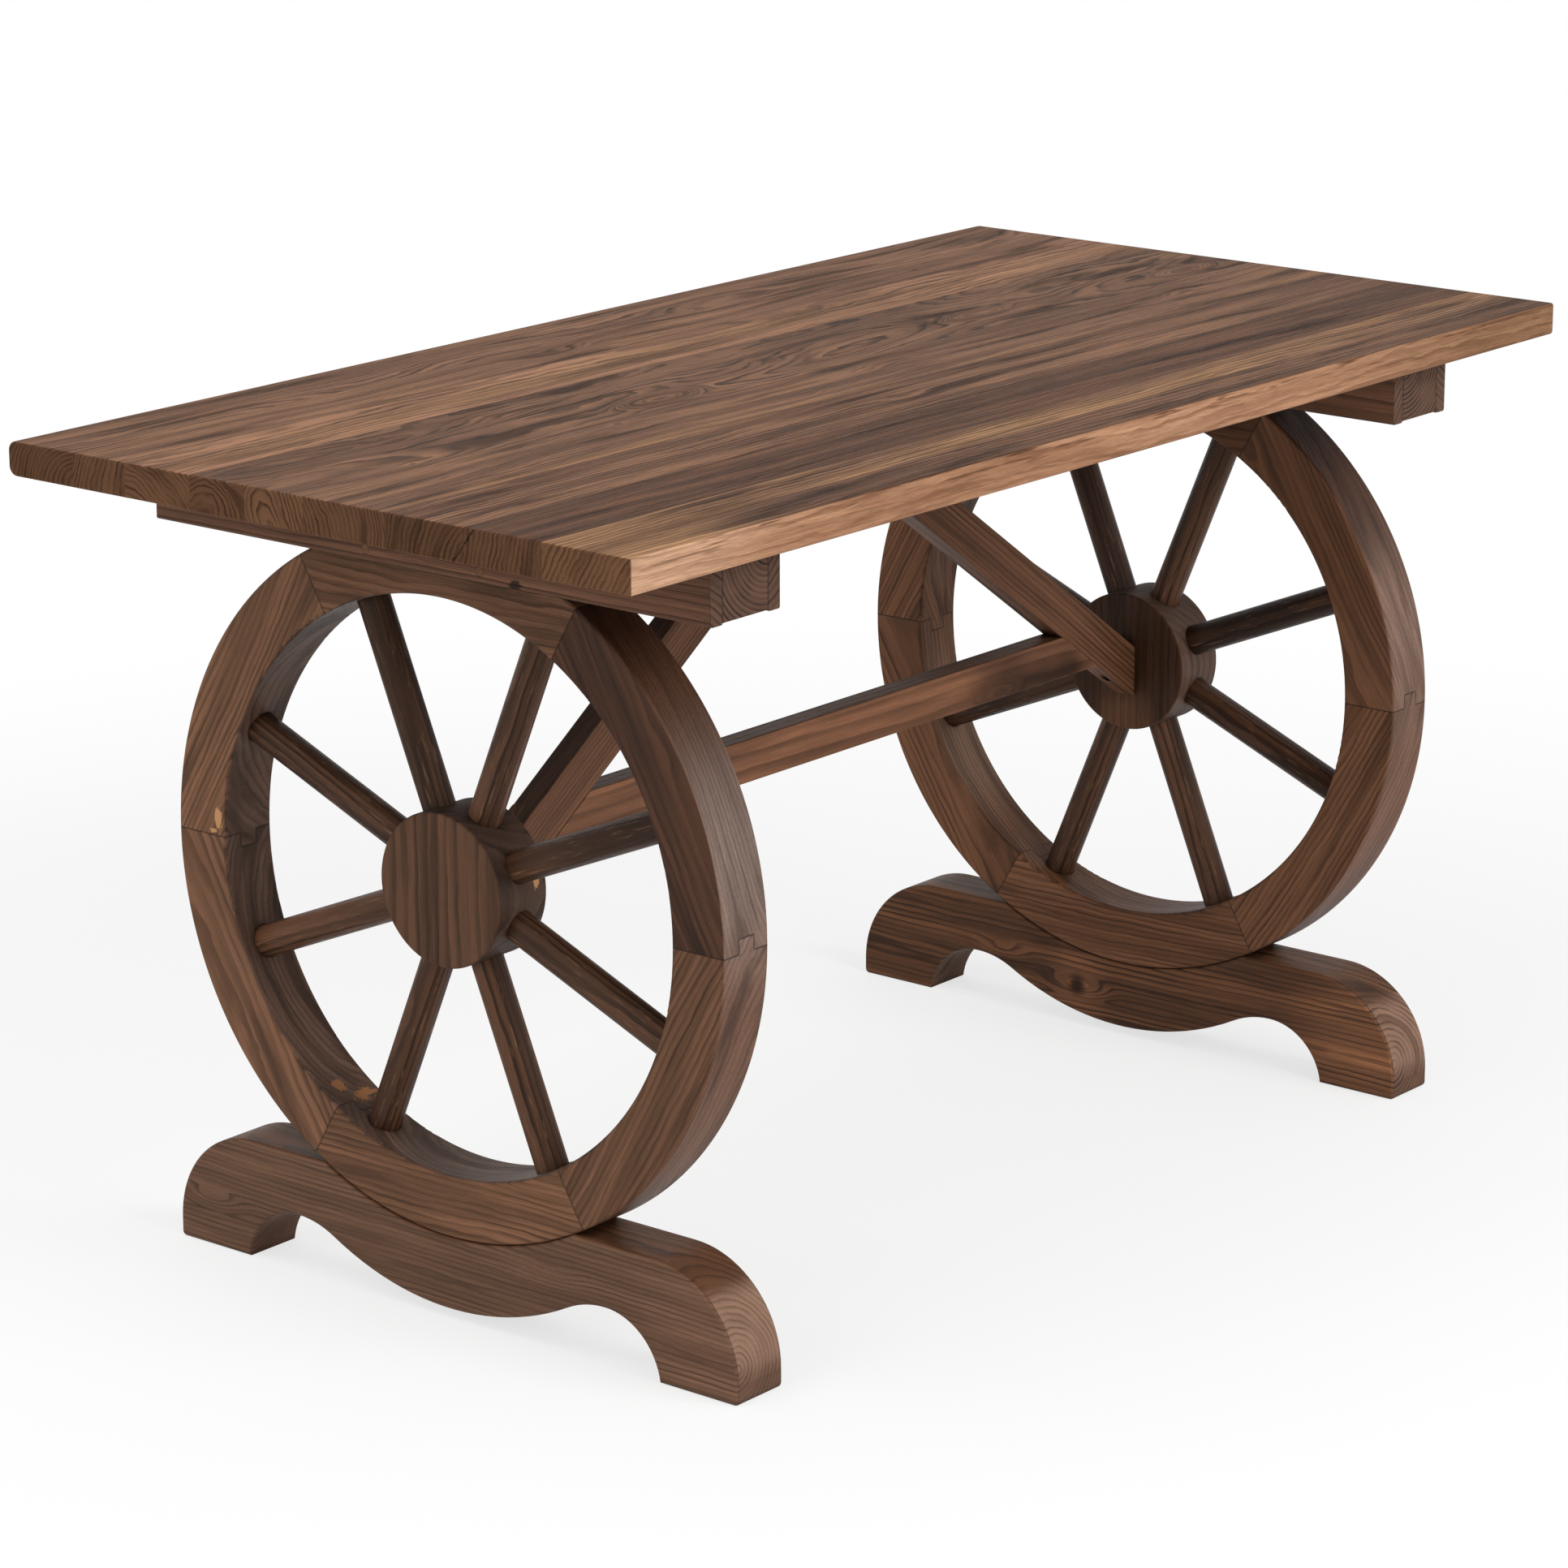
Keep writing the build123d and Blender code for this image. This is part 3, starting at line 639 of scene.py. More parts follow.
def bare_spot(point, size, stretch, paint):
    """A chip that shows bare wood at a point of the world, its outline ragged."""
    def mark(surface):
        graph = surface.graph
        offset = graph.vector("SUBTRACT", surface.position, tuple(point))
        flat = graph.vector("MULTIPLY", offset, tuple(1 / (size * part) for part in stretch))
        ragged = graph.blobs(surface.place, CHIP_SIZE, detail=3.0)
        reach = graph.vector("LENGTH", flat)
        reach = graph.math("ADD", reach, graph.math("MULTIPLY_ADD", ragged, 1.6, -0.8))
        share = graph.math("MULTIPLY", graph.step(reach, 1.05, 0.75), 0.85)
        surface.paint = graph.mix(share, surface.paint, paint)
    return mark


def slanting_crack(start, end):
    """A thin dark crack across a cut end between two points of the world."""
    def mark(surface):
        graph = surface.graph
        first, last = Vector(start), Vector(end)
        line = (last - first).normalized()
        square = Vector((0.0, -line.z, line.y))
        offset = graph.vector("SUBTRACT", surface.position, tuple(first))
        ragged = graph.blobs(surface.place, CRACK_SIZE)
        away = graph.vector("DOT_PRODUCT", offset, tuple(square))
        away = graph.math("MULTIPLY_ADD", graph.math("SUBTRACT", ragged, 0.5), 6 * MILLIMETRE, away)
        near = graph.step(graph.math("ABSOLUTE", away), 1.1 * MILLIMETRE, 0.4 * MILLIMETRE)
        share = graph.math("MULTIPLY", near, graph.math("MULTIPLY", surface.end, 0.8))
        surface.paint = graph.mix(share, surface.paint, JOINT_DIRT)
    return mark


# ------------------------------------------------------------------ stains and painted light and shade: pale, deep, late and char
TOP_STAIN = paints((141, 102, 76), (88, 60, 43), (40, 26, 19), (42, 29, 22))
GOLD_STAIN = paints((184, 139, 98), (128, 91, 62), (54, 36, 24), (60, 42, 31))
DARK_STAIN = paints((112, 76, 54), (70, 46, 32), (32, 20, 14), (32, 21, 16))
END_STAIN = paints((140, 101, 74), (108, 76, 55), (70, 47, 33), (76, 52, 38))
EDGE_STAIN = paints((188, 143, 112), (160, 117, 88), (142, 101, 75), (122, 84, 61))
# a lighter copy of the edge stain: painted light
SUNNY_EDGE_STAIN = paints((216, 174, 143), (190, 148, 118), (172, 132, 103), (146, 108, 83))
# a darker copy of the edge stain: painted shade
SHADY_EDGE_STAIN = paints((158, 118, 88), (128, 92, 67), (110, 77, 55), (90, 62, 45))
LEFT_WHEEL_STAIN = paints((128, 90, 67), (98, 69, 49), (56, 37, 25), (64, 45, 33))
RIGHT_WHEEL_STAIN = paints((120, 82, 58), (92, 61, 42), (54, 36, 25), (56, 38, 27))
TREAD_STAIN = paints((116, 83, 66), (92, 65, 51), (82, 57, 44), (60, 42, 32))
# painted shadow of the top on the upper tread
PAINTED_TREAD_SHADOW = paints((76, 50, 36), (60, 38, 27), (48, 30, 21), (38, 24, 17))
# painted sheen on the treads, a reflection of the bright room
PAINTED_SHEEN = paints((133, 112, 102), (104, 87, 78), (88, 72, 64), (68, 55, 48))
WARM_PAINTED_SHEEN = paints((130, 103, 89), (102, 79, 68), (88, 67, 57), (66, 50, 42))
# darker wood of the felloe under the top, with the top's shadow painted in
RUSSET_STAIN_AND_SHADE = paints((87, 57, 41), (62, 41, 29), (38, 24, 17), (40, 26, 19))
INNER_STAIN = paints((104, 80, 67), (76, 57, 47), (62, 46, 37), (44, 32, 26))
# painted sheen on the lower inner rim of the right wheel
PAINTED_INNER_SHEEN = paints((140, 108, 88), (112, 86, 70), (92, 70, 57), (66, 49, 40))
WARM_INNER_STAIN = paints((112, 76, 53), (84, 56, 39), (66, 43, 29), (46, 30, 22))
SPOKE_STAIN = paints((98, 67, 48), (56, 37, 26), (29, 18, 12), (29, 19, 14))
CORE_END_STAIN = paints((122, 90, 73), (86, 61, 48), (36, 24, 19), (60, 44, 36))
BEAM_STAIN = paints((130, 91, 69), (100, 69, 52), (64, 43, 32), (56, 39, 31))
RAIL_STAIN = paints((138, 94, 68), (104, 70, 50), (72, 48, 34), (48, 32, 25))
LEFT_FOOT_STAIN = paints((118, 87, 68), (92, 67, 51), (54, 37, 27), (62, 46, 36))
RIGHT_FOOT_STAIN = paints((118, 79, 54), (88, 59, 41), (52, 34, 25), (52, 36, 28))
FOOT_TOP_STAIN = paints((104, 68, 45), (80, 52, 35), (44, 27, 18), (50, 33, 22))
# painted highlight on the upper curve of the feet's noses
NOSE_HIGHLIGHT = paints((172, 136, 114), (140, 108, 90), (88, 62, 48), (104, 79, 64))
NOSE_END_STAIN = paints((124, 92, 74), (98, 71, 56), (58, 40, 30), (68, 49, 39))
BARE_WOOD = paints((206, 164, 118), (176, 132, 90), (138, 98, 64), (98, 68, 48))
# painted shade under the top, on the upper faces of the stretcher and braces
RAIL_TOP_SHADE = shaded(RAIL_STAIN, 0.4)
BRACE_STAIN = shaded(RAIL_STAIN, 0.64)
BRACE_TOP_SHADE = shaded(RAIL_STAIN, 0.25)
PLUG_STAIN = shaded(BARE_WOOD, 0.36)
# pale wood of wear, also used as the colour of painted highlights and glints
WORN_WOOD_AND_HIGHLIGHT = colour(168, 130, 100)
CHIPPED_WOOD = colour(190, 142, 96)
RUBBED_WOOD = colour(146, 98, 62)
LINE_STAIN = colour(84, 54, 36)
JOINT_DIRT = colour(26, 18, 14)
PALE_STEEL = colour(168, 160, 142)
DULL_STEEL = colour(120, 112, 98)
STEEL_STAIN_SIZE = (0.002, 0.002, 0.002)  # in metres

# ------------------------------------------------------------------ figures
#                    spacing wander ripple lines streaks scorch fibre
TOP_FIGURE = Figure(5.0, 26.0, 7.0, 0.85, 0.66, 0.72, 0.3)
WHEEL_FIGURE = Figure(4.8, 24.0, 5.0, 0.8, 0.9, 0.65, 0.35)
CALM_FIGURE = Figure(4.6, 18.0, 4.0, 0.6, 0.9, 0.6, 0.35)
SPOKE_FIGURE = Figure(5.0, 16.0, 3.0, 0.75, 0.6, 0.5, 0.35)
RAIL_FIGURE = Figure(6.0, 12.0, 1.5, 0.7, 0.7, 0.35, 0.3)
CORE_FIGURE = Figure(4.6, 4.0, 1.0, 1.0, 0.7, 0.35, 0.3)
BRACE_FIGURE = RAIL_FIGURE._replace(spacing=4.2, lines=0.95)
PLUG_FIGURE = RAIL_FIGURE._replace(spacing=1.6, scorch=0.1)
CALM_FOOT_FIGURE = Figure(4.8, 18.0, 4.0, 0.6, 0.65, 0.3, 0.3)
WILD_FOOT_FIGURE = Figure(5.6, 18.0, 4.0, 1.0, 1.0, 0.85, 0.3)

# where the heart of the tree runs beside the middle of each board, in its own millimetres
HUB_PITH = (110.0, -60.0)
OUTER_BOARD_PITH = (90.0, 60.0)
INNER_BOARD_PITH = (-80.0, 70.0)
BRACE_PITH = (80.0, -25.0)
STRETCHER_PITH = (-30.0, -50.0)
PLUG_PITH = (9.0, 20.0)

# where each kind of piece starts in the noise; the pieces of one kind follow it in steps
PLANK_SEED = 1.37
FELLOE_SEED = 11.2
SPOKE_SEED = 31.7
HUB_SEED = 51.3
FOOT_SEED = 61.9
BEAM_SEED = 71.3
BRACE_SEED = 81.1
STRETCHER_SEED = 91.7
PLUG_SEED = 97.3


# ------------------------------------------------------------------ which wood each plank is
def on_top(x, y):
    """A point of the table's upper face."""
    return (x, y, TOP_HEIGHT)


# each plank from the near edge: stain, pith beside and below its middle, what sets its rings apart
PLANK_WOODS = [
    (TOP_STAIN, (-120.0, -62.0), {"spacing": 5.4}),
    (shaded(DARK_STAIN, 1.15), (-170.0, -30.0), {"streaks": 0.75}),
    (shaded(TOP_STAIN, 1.2), (-140.0, -60.0), {"spacing": 5.0}),
    (shaded(TOP_STAIN, 1.2), (110.0, -22.0), {"spacing": 4.6, "ripple": 8.0}),
    (shaded(TOP_STAIN, 1.1), (0.0, -16.0), {"wander": 84.0, "spacing": 5.2, "streaks": 0.6}),
    (shaded(TOP_STAIN, 1.0), (20.0, -34.0), {"wander": 96.0, "ripple": 9.0, "streaks": 0.6}),
    (
        shaded(TOP_STAIN, 1.75),
        (60.0, -90.0),
        {"spacing": 4.4, "wander": 30.0, "streaks": 0.55, "scorch": 0.5},
    ),
    (shaded(TOP_STAIN, 1.3), (-110.0, -26.0), {"wander": 60.0, "streaks": 0.55}),
    (shaded(TOP_STAIN, 1.22), (-70.0, -60.0), {"spacing": 5.0, "wander": 70.0, "streaks": 0.55}),
]
FRONT_EDGE = side_stain_and_shade(FRONT, shaded(EDGE_STAIN, 0.9))
GOLDEN_CORNER = spot(GOLD_STAIN, on_top(-0.64, -0.32), 0.17, UP)
# painted light towards the left end of the near edge, painted shade towards its right end
SUNNY_END = fading_side(FRONT, shaded(SUNNY_EDGE_STAIN, 0.92), 0, -0.64, -0.46)
SHADY_END = fading_side(FRONT, shaded(SHADY_EDGE_STAIN, 0.92), 0, 0.6, 0.2)
PLANK_SHAPERS = {
    "plank_1": [
        long_band(2, 60, GOLD_STAIN, 1.0),
        long_band(-60, -10, DARK_STAIN, 0.8),
        GOLDEN_CORNER,
        FRONT_EDGE,
        SUNNY_END,
        SHADY_END,
    ],
    "plank_3": [long_band(20, 60, DARK_STAIN, 0.7), eye(on_top(-0.06, -0.135), 9.0, 24.0)],
    "plank_4": [
        long_band(-60, -32, GOLD_STAIN, 0.7),
        knot(on_top(-0.304, -0.012), 4.5),
        eye(on_top(0.058, -0.022), 12.0, 26.0),
        eye(on_top(0.5, -0.03), 10.0, 22.0),
    ],
    "plank_5": [
        knot(on_top(-0.53, 0.016), 3.5),
        eye(on_top(-0.2, 0.03), 12.0, 24.0),
        eye(on_top(0.284, 0.05), 11.0, 26.0),
        eye(on_top(0.6, 0.03), 10.0, 22.0),
    ],
    "plank_7": [long_band(-24, 16, GOLD_STAIN, 0.6)],
    "plank_8": [eye(on_top(-0.1, 0.235), 12.0, 24.0), knot(on_top(0.43, 0.235), 5.0)],
}
KNOTTY_PLANKS = ("plank_4", "plank_5", "plank_8")
CRACKED_PLANKS = ("plank_2", "plank_3")
CRACK_ENDS = ((-0.675, -0.183, 0.750), (-0.675, -0.160, 0.720))
# how dark each plank's cut ends are
END_SHADES = (1.08, 0.78, 0.66, 0.85, 1.05, 0.8, 0.95, 0.85, 0.72)

# ------------------------------------------------------------------ what sets the two wheels and feet apart
WHEEL_STAINS = {"left": LEFT_WHEEL_STAIN, "right": RIGHT_WHEEL_STAIN}
INNER_STAINS = {"left": INNER_STAIN, "right": WARM_INNER_STAIN}
# painted sheen on the treads of each wheel
PAINTED_SHEENS = {"left": PAINTED_SHEEN, "right": WARM_PAINTED_SHEEN}
# how dark each felloe is, beside the others of its wheel
FELLOE_SHADES = {"left": (1.14, 0.93, 1.0, 0.84, 1.08, 1.04), "right": (1.1, 0.9, 1.05, 1.15, 1.2, 1.15)}
# the spokes go round from the one just above +Y
SPOKE_SHADES = {
    "left": (0.9, 0.9, 1.45, 0.85, 0.85, 1.1, 1.2, 1.35),
    "right": (0.9, 0.9, 1.1, 0.8, 0.9, 1.2, 1.1, 0.8),
}
# how dark each hub is; the right hub's darkness is painted shadow of the brace and top
HUB_SHADES = {"left": 0.64, "right": 0.34}
HUB_LINES = {"left": 0.75, "right": 0.45}
# painted sheen on the round sides of the hubs
HUB_SIDE_SHEENS = {"left": shaded(INNER_STAIN, 0.75), "right": shaded(INNER_STAIN, 1.1)}
# spots on rims and feet: Y and Z of the middle, and the reach; those on the rims are painted sheen and
# painted shadow
TREAD_SHEEN = (-0.296, 0.48, 0.17)
TREAD_SHADE = (-0.2, 0.62, 0.19)
INNER_RIM_SHEEN = (0.225, 0.265, 0.12)
NEAR_NOSE = (-0.29, 0.05, 0.12)
# a point on the right hub's end face, round which a pool of light is painted
HUB_GLEAM = (0.465, 0.0, 0.322)
LEFT_CHIPS = [
    ("left_felloe_1", (-0.5235, 0.262, 0.400), 0.006, (1.0, 0.8, 1.7), CHIPPED_WOOD),
    ("left_felloe_1", (-0.5235, 0.268, 0.388), 0.003, (1.0, 1.6, 0.8), CHIPPED_WOOD),
    ("left_felloe_6", (-0.485, 0.128, 0.166), 0.006, (2.4, 1.4, 1.0), RUBBED_WOOD),
    ("left_felloe_6", (-0.503, 0.142, 0.175), 0.005, (1.4, 2.2, 1.0), RUBBED_WOOD),
    ("left_hub", (-0.478, -0.067, 0.396), 0.005, (0.8, 1.0, 1.8), CHIPPED_WOOD),
]
FOOT_STAINS = {"left": LEFT_FOOT_STAIN, "right": RIGHT_FOOT_STAIN}
FOOT_FIGURES = {"left": CALM_FOOT_FIGURE, "right": WILD_FOOT_FIGURE}
FOOT_KNOT = (0.4655, 0.0525, 0.0414)
FOOT_EYES = {
    "left": [
        eye((-0.5245, 0.283, 0.046), 9.0, 18.0),
        eye((-0.5245, -0.12, 0.07), 10.0, 16.0),
    ],
    "right": [
        eye(FOOT_KNOT, 9.0, -24.0),
        eye((0.4655, 0.145, 0.06), 8.0, -18.0),
        spot(shaded(RIGHT_FOOT_STAIN, 1.7), FOOT_KNOT, 0.05, LEFT),
        spot(shaded(RIGHT_FOOT_STAIN, 0.2), FOOT_KNOT, 0.016, LEFT),
    ],
}
NOSE_SIDES = {"left": shaded(LEFT_FOOT_STAIN, 1.3), "right": shaded(RIGHT_FOOT_STAIN, 2.1)}
BOARD_KNOT = (-0.5385, -0.103, 0.666)
STRETCHER_SWIRL = (0.245, -0.0125, 0.4)
STRETCHER_FLAME = [(x, -0.0125, 0.397) for x in (0.27, 0.31, 0.35)]


# ------------------------------------------------------------------ the pieces' materials
def middle_of(node):
    """The middle of a CAD node's box."""
    low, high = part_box(node)
    return (low + high) / 2


def wheel_centre(name):
    """The middle of a wheel."""
    return Vector((middle_of(f"{name}_hub").x, 0.0, AXLE_HEIGHT))


def wheel_direction(angle):
    """The direction of an angle in the wheel's plane, measured from +Y towards +Z."""
    return Vector((0.0, math.cos(math.radians(angle)), math.sin(math.radians(angle))))


def chips_of(node):
    """The bare spots that lie on one node."""
    return [bare_spot(*chip) for owner, *chip in LEFT_CHIPS if owner == node]


def plank_materials(group):
    """One wood for each plank of the top."""
    made = {}
    for index, (stain, pith, changes) in enumerate(PLANK_WOODS):
        node = f"plank_{index + 1}"
        board = Board(node, middle_of(node), ALONG, UP)
        shapers = [*PLANK_SHAPERS.get(node, []), stained_ends(shaded(END_STAIN, END_SHADES[index]))]
        outermost = index in (0, len(PLANK_WOODS) - 1)
        marks = [arris_wear_and_highlight(0.5) if outermost else arris_wear_and_highlight(0.3, joint=ACROSS)]
        if index == 0:
            marks.append(edge_lines(FRONT, TOP_HEIGHT))
        if node in CRACKED_PLANKS:
            marks.append(slanting_crack(*CRACK_ENDS))
        if node in KNOTTY_PLANKS:
            marks.append(knot_core())
        wood = Wood(stain, TOP_FIGURE._replace(**changes), pith, PLANK_SEED + index)
        made[node] = timber_material(group, board, wood, shapers, marks, WAXED_TOP)
    return made


def felloe_shapers(node, name, index, centre, outward):
    """A felloe's tread and inner face, with painted sheen and painted shadow on the treads and painted
    sheen on one inner rim.
    """
    shapers = [side_stain_and_shade(outward, TREAD_STAIN), side_stain_and_shade(-outward, INNER_STAINS[name])]
    # painted sheen on two treads
    if index in (2, 3):
        shapers.append(side_spot(PAINTED_SHEENS[name], centre.x, TREAD_SHEEN, outward))
    # painted shadow of the top on the upper tread
    if index == 2:
        shapers.append(side_spot(PAINTED_TREAD_SHADOW, centre.x, TREAD_SHADE, outward))
    # painted sheen on this inner rim
    if node == "right_felloe_6":
        shapers.append(side_spot(PAINTED_INNER_SHEEN, centre.x, INNER_RIM_SHEEN, -outward))
    return shapers


def felloe_materials(group, name, side):
    """The rim, with the grain along each felloe's chord."""
    made = {}
    centre = wheel_centre(name)
    for index, shade in enumerate(FELLOE_SHADES[name]):
        node = f"{name}_felloe_{index + 1}"
        angle = (index + 0.5) * FELLOE_ANGLE
        outward = wheel_direction(angle)
        chord = wheel_direction(angle + 90)
        board = Board(node, centre + outward * RIM_MIDDLE, chord, (side, 0, 0))
        pith = (120.0 - 37.0 * (index % 3), -70.0 - 25.0 * (index % 2))
        # the felloe under the top: darker wood and painted shade
        stain = RUSSET_STAIN_AND_SHADE if node == "left_felloe_3" else shaded(WHEEL_STAINS[name], shade)
        figure = CALM_FIGURE if index == 2 else WHEEL_FIGURE
        wood = Wood(stain, figure, pith, FELLOE_SEED + index + 7 * side)
        shapers = felloe_shapers(node, name, index, centre, outward)
        marks = [arris_wear_and_highlight(0.35, chord), joint_line(chord), tongue_line(centre.x), *chips_of(node)]
        made[node] = timber_material(group, board, wood, shapers, marks)
    return made


def spoke_materials(group, name, side):
    """The spokes, with the grain along their length."""
    made = {}
    centre = wheel_centre(name)
    for index, shade in enumerate(SPOKE_SHADES[name]):
        node = f"{name}_spoke_{index + 1}"
        board = Board(node, centre, wheel_direction((index + 0.5) * SPOKE_ANGLE), ALONG)
        pith = (25.0 - 7.0 * index, 40.0 - 9.0 * (index % 3))
        wood = Wood(shaded(SPOKE_STAIN, shade), SPOKE_FIGURE, pith, SPOKE_SEED + index + 9 * side)
        # pale flecks of wear with painted glints, and wear with a painted highlight on the arrises
        marks = [rubbed_and_glinting(0.3), arris_wear_and_highlight(0.4)]
        made[node] = timber_material(group, board, wood, marks=marks, finish=POLISHED_SPOKE)
    return made


def hub_material(group, name, side):
    """The hub, with the grain upright."""
    node = f"{name}_hub"
    centre = wheel_centre(name)
    board = Board(node, centre, UP, (side, 0, 0))
    figure = WHEEL_FIGURE._replace(spacing=9.0, wander=12.0, lines=HUB_LINES[name], streaks=0.4)
    # on the right hub this darkening is painted shadow
    stain = shaded(WHEEL_STAINS[name], HUB_SHADES[name])
    wood = Wood(stain, figure, HUB_PITH, HUB_SEED + side)
    # painted sheen on the hub's round side
    shapers = [painted_round_sheen(ALONG, HUB_SIDE_SHEENS[name])]
    # a painted pool of light low on the right hub's end face
    if name == "right":
        shapers.append(spot(shaded(stain, 2.4), HUB_GLEAM, 0.05, LEFT))
    marks = [arris_wear_and_highlight(0.35), *chips_of(node)]
    return {node: timber_material(group, board, wood, shapers, marks)}


def foot_material(group, name, side):
    """The foot, sawn from one board across the table, its pith low and towards its left face."""
    node = f"{name}_foot"
    middle = middle_of(node)
    board = Board(node, middle, ACROSS, (side, 0, 0))
    wood = Wood(FOOT_STAINS[name], FOOT_FIGURES[name], (-20.0 * side, -27.0 * side), FOOT_SEED + side)
    shapers = [side_stain_and_shade(UP, FOOT_TOP_STAIN), stained_ends(NOSE_END_STAIN)]
    # painted highlights on the upper curve of both noses
    shapers.extend(painted_nose_highlight(way) for way in (-1, 1))
    shapers.append(side_spot(NOSE_SIDES[name], middle.x, NEAR_NOSE, LEFT))
    shapers.extend(FOOT_EYES[name])
    return {node: timber_material(group, board, wood, shapers, [arris_wear_and_highlight(0.4)])}


def beam_materials(group, name, side):
    """The crossbeam's core and its two boards, all with the grain across the table."""
    made = {}
    # each part, its pith, its rings and the way its joint with the core looks
    parts = [
        ("beam_core", (28.0 * side, -28.0), CORE_FIGURE, None),
        ("beam_outer_board", OUTER_BOARD_PITH, RAIL_FIGURE, -side),
        ("beam_inner_board", INNER_BOARD_PITH, RAIL_FIGURE, side),
    ]
    for part, pith, figure, inward in parts:
        node = f"{name}_{part}"
        board = Board(node, middle_of(node), ACROSS, (side, 0, 0))
        wood = Wood(BEAM_STAIN, figure, pith, BEAM_SEED + side + len(part))
        marks = [joint_line(ALONG)]
        if inward is not None:
            marks = [arris_wear_and_highlight(0.45), joint_line((inward, 0, 0), one_way=True)]
        if node == "left_beam_outer_board":
            marks.append(bare_spot(BOARD_KNOT, 0.005, (1.0, 1.4, 1.0), JOINT_DIRT))
        made[node] = timber_material(group, board, wood, [stained_ends(CORE_END_STAIN)], marks, SAWN_BOARD)
    return made


def brace_material(group, name, side):
    """The brace, which runs from its hub up to the far end of the top."""
    node = f"{name}_brace"
    low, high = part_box(node)
    along = (side * (high.x - low.x), 0, -(high.z - low.z))
    upward = Vector((side * (high.z - low.z), 0, high.x - low.x)).normalized()
    board = Board(node, middle_of(node), along, FRONT)
    wood = Wood(BRACE_STAIN, BRACE_FIGURE, BRACE_PITH, BRACE_SEED + side)
    # painted shade on the brace's upper face
    shapers = [side_stain_and_shade(upward, BRACE_TOP_SHADE)]
    return {node: timber_material(group, board, wood, shapers, [arris_wear_and_highlight(0.4)])}


def stretcher_material(group):
    """The stretcher, with a swirl and a dark flame in the grain on its near face."""
    board = Board("stretcher", middle_of("stretcher"), ALONG, FRONT)
    wood = Wood(RAIL_STAIN, RAIL_FIGURE, STRETCHER_PITH, STRETCHER_SEED)
    shapers = [eye(STRETCHER_SWIRL, 7.0, 14.0)]
    shapers.append(spot(shaded(RAIL_STAIN, 0.45), STRETCHER_SWIRL, 0.07, FRONT))
    # painted shade on the stretcher's upper face
    shapers.append(side_stain_and_shade(UP, RAIL_TOP_SHADE))
    shapers.extend(spot(shaded(RAIL_STAIN, 0.3), point, 0.05, FRONT) for point in STRETCHER_FLAME)
    return {"stretcher": timber_material(group, board, wood, shapers, [arris_wear_and_highlight(0.35)])}


def plug_materials(group):
    """The bare wood of the plugs and dowels."""
    made = {}
    for node in ("screw_plugs", "hub_dowels"):
        board = Board(node, (0, 0, 0), ACROSS, ALONG)
        wood = Wood(PLUG_STAIN, PLUG_FIGURE, PLUG_PITH, PLUG_SEED)
        made[node] = timber_material(group, board, wood)
    return made


def steel_material():
    """Yellow-passivated steel, a little dull, for the screws."""
    material = bpy.data.materials.new("screw_steel")
    material.use_nodes = True
    material.node_tree.nodes.clear()
    graph = Graph(material.node_tree)
    place = graph.add("ShaderNodeTexCoord").outputs["Object"]
    stain = graph.blobs(place, STEEL_STAIN_SIZE, detail=3.0)
    paint = graph.mix(stain, DULL_STEEL, PALE_STEEL)
    coat = {"Base Color": paint, "Roughness": graph.span(stain, 0.32, 0.5), "Metallic": 1.0}
    shader = graph.add("ShaderNodeBsdfPrincipled", coat)
    graph.add("ShaderNodeOutputMaterial", {"Surface": shader.outputs[0]})
    return material


def paint_nodes(nodes):
    """Gives every CAD node that shows its own wood or steel."""
    group = make_timber_group()
    made = plank_materials(group)
    sided = (felloe_materials, spoke_materials, hub_material, foot_material, beam_materials, brace_material)
    for name, side in SIDES.items():
        for make in sided:
            made.update(make(group, name, side))
    made.update(stretcher_material(group))
    made.update(plug_materials(group))
    steel = steel_material()
    for name, piece in nodes.items():
        material = made.get(name, steel)
        piece.data.materials.clear()
        piece.data.materials.append(material)


# ------------------------------------------------------------------ camera, light and floor
def make_camera():
    """The viewpoint: from the front left, a little above the top."""
    heading, tilt, roll = (math.radians(a) for a in (CAMERA_HEADING, CAMERA_TILT, CAMERA_ROLL))
    flat = math.cos(tilt)
    forward = Vector((math.sin(heading) * flat, math.cos(heading) * flat, math.sin(tilt)))
    level = Vector((math.cos(heading), -math.sin(heading), 0.0))
    upright = level.cross(forward)
    right = level * math.cos(roll) + upright * math.sin(roll)
    up = upright * math.cos(roll) - level * math.sin(roll)
    turned = Matrix((right, up, -forward)).transposed().to_4x4()
    camera = bpy.data.objects.new("camera", bpy.data.cameras.new("camera"))
    camera.data.sensor_width = CAMERA_SENSOR
    camera.data.lens = CAMERA_LENS
    camera.data.clip_end = CAMERA_REACH
    camera.matrix_world = Matrix.Translation(CAMERA_PLACE) @ turned
    bpy.context.scene.collection.objects.link(camera)
    bpy.context.scene.camera = camera


def make_softbox(name, place, aim, width, height, power):
    """A rectangular white light at a place, turned towards another."""
    lamp = bpy.data.lights.new(name, "AREA")
    lamp.shape = "RECTANGLE"
    lamp.size = width
    lamp.size_y = height
    lamp.energy = power
    softbox = bpy.data.objects.new(name, lamp)
    softbox.location = place
    softbox.rotation_euler = (Vector(aim) - Vector(place)).to_track_quat("-Z", "Y").to_euler()
    bpy.context.scene.collection.objects.link(softbox)


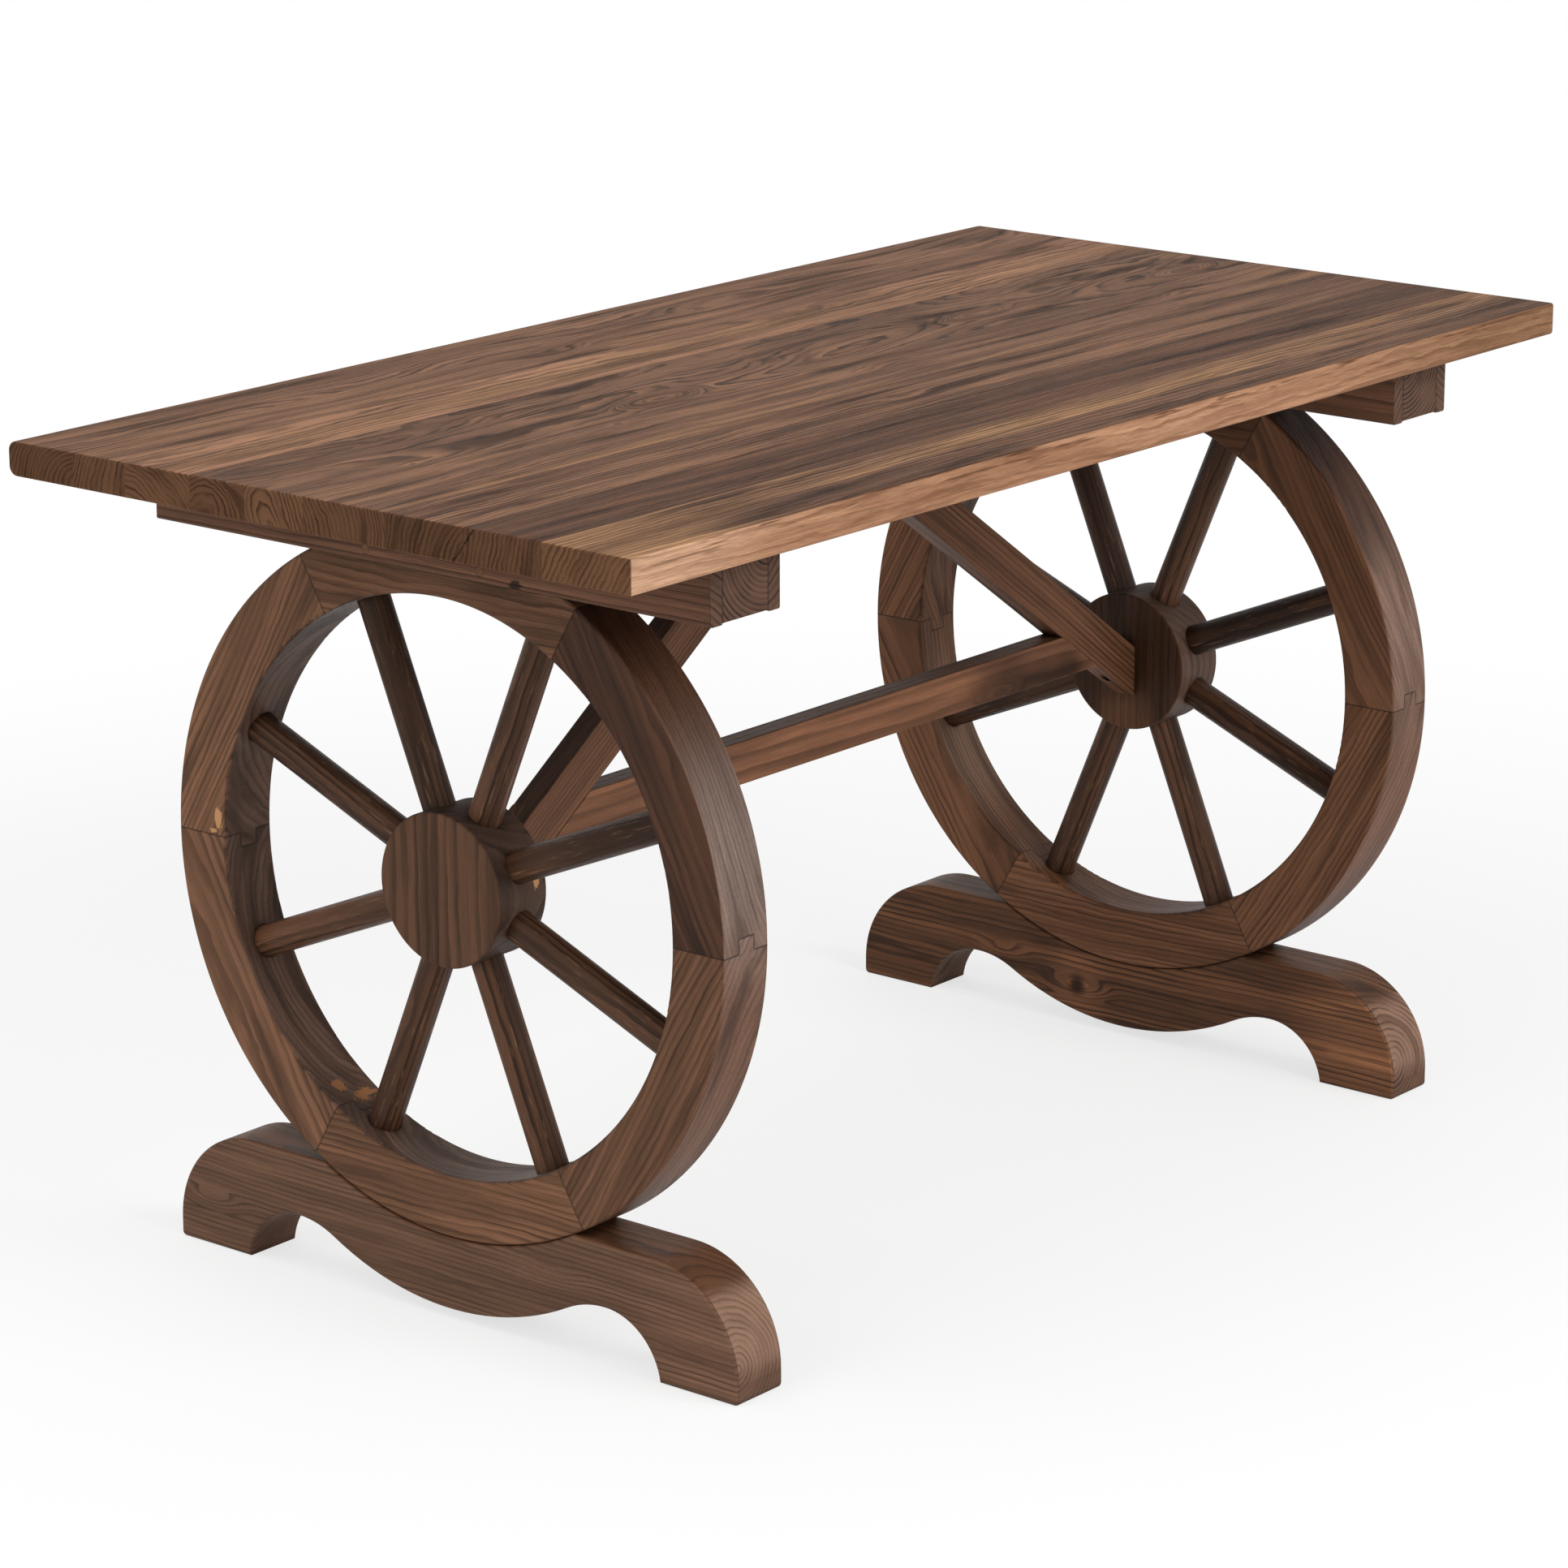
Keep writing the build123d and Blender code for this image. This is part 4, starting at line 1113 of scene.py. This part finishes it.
def seen_straight(graph):
    """1 for what the camera sees, also by way of a mirror or through glass."""
    path = graph.add("ShaderNodeLightPath").outputs
    seen = graph.math("MAXIMUM", path["Is Camera Ray"], path["Is Glossy Ray"])
    return graph.math("MAXIMUM", seen, path["Is Transmission Ray"])


def make_light():
    """A bright room, a large soft light in front of the table and weaker ones from the left and above."""
    world = bpy.data.worlds.new("studio")
    world.use_nodes = True
    graph = Graph(world.node_tree)
    background = world.node_tree.nodes["Background"]
    background.inputs["Color"].default_value = (1.0, 1.0, 1.0, 1.0)
    graph.feed(background.inputs["Strength"], graph.span(seen_straight(graph), ROOM_LIGHT, 1.0))
    bpy.context.scene.world = world
    for softbox in SOFTBOXES:
        make_softbox(*softbox)


def make_floor():
    """A pale studio floor that keeps the table's shadow."""
    mesh = bpy.data.meshes.new("floor")
    corners = [(x * FLOOR_REACH, y * FLOOR_REACH, 0) for x, y in ((-1, -1), (1, -1), (1, 1), (-1, 1))]
    mesh.from_pydata(corners, [], [(0, 1, 2, 3)])
    material = bpy.data.materials.new("floor")
    material.use_nodes = True
    material.node_tree.nodes.clear()
    graph = Graph(material.node_tree)
    grey = colour(FLOOR_GREY, FLOOR_GREY, FLOOR_GREY)
    plain = {"Base Color": grey, "Roughness": 0.95, "Specular IOR Level": 0.1}
    paint = graph.add("ShaderNodeBsdfPrincipled", plain).outputs[0]
    veil = graph.add("ShaderNodeEmission", {"Color": (1, 1, 1, 1), "Strength": 1.0}).outputs[0]
    place = graph.add("ShaderNodeTexCoord").outputs["Object"]
    away = graph.step(graph.vector("LENGTH", place), FLOOR_NEAR, FLOOR_FAR)
    share = graph.math("MULTIPLY", seen_straight(graph), graph.span(away, FLOOR_VEIL, 1.0))
    both = graph.add("ShaderNodeMixShader", {0: share, 1: paint, 2: veil}).outputs[0]
    graph.add("ShaderNodeOutputMaterial", {"Surface": both})
    mesh.materials.append(material)
    floor = bpy.data.objects.new("floor", mesh)
    bpy.context.scene.collection.objects.link(floor)


bpy.ops.object.select_all(action="SELECT")
bpy.ops.object.delete()
bpy.context.scene.view_settings.view_transform = "Standard"
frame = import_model()
paint_nodes(frame["nodes"])
make_camera()
make_light()
make_floor()
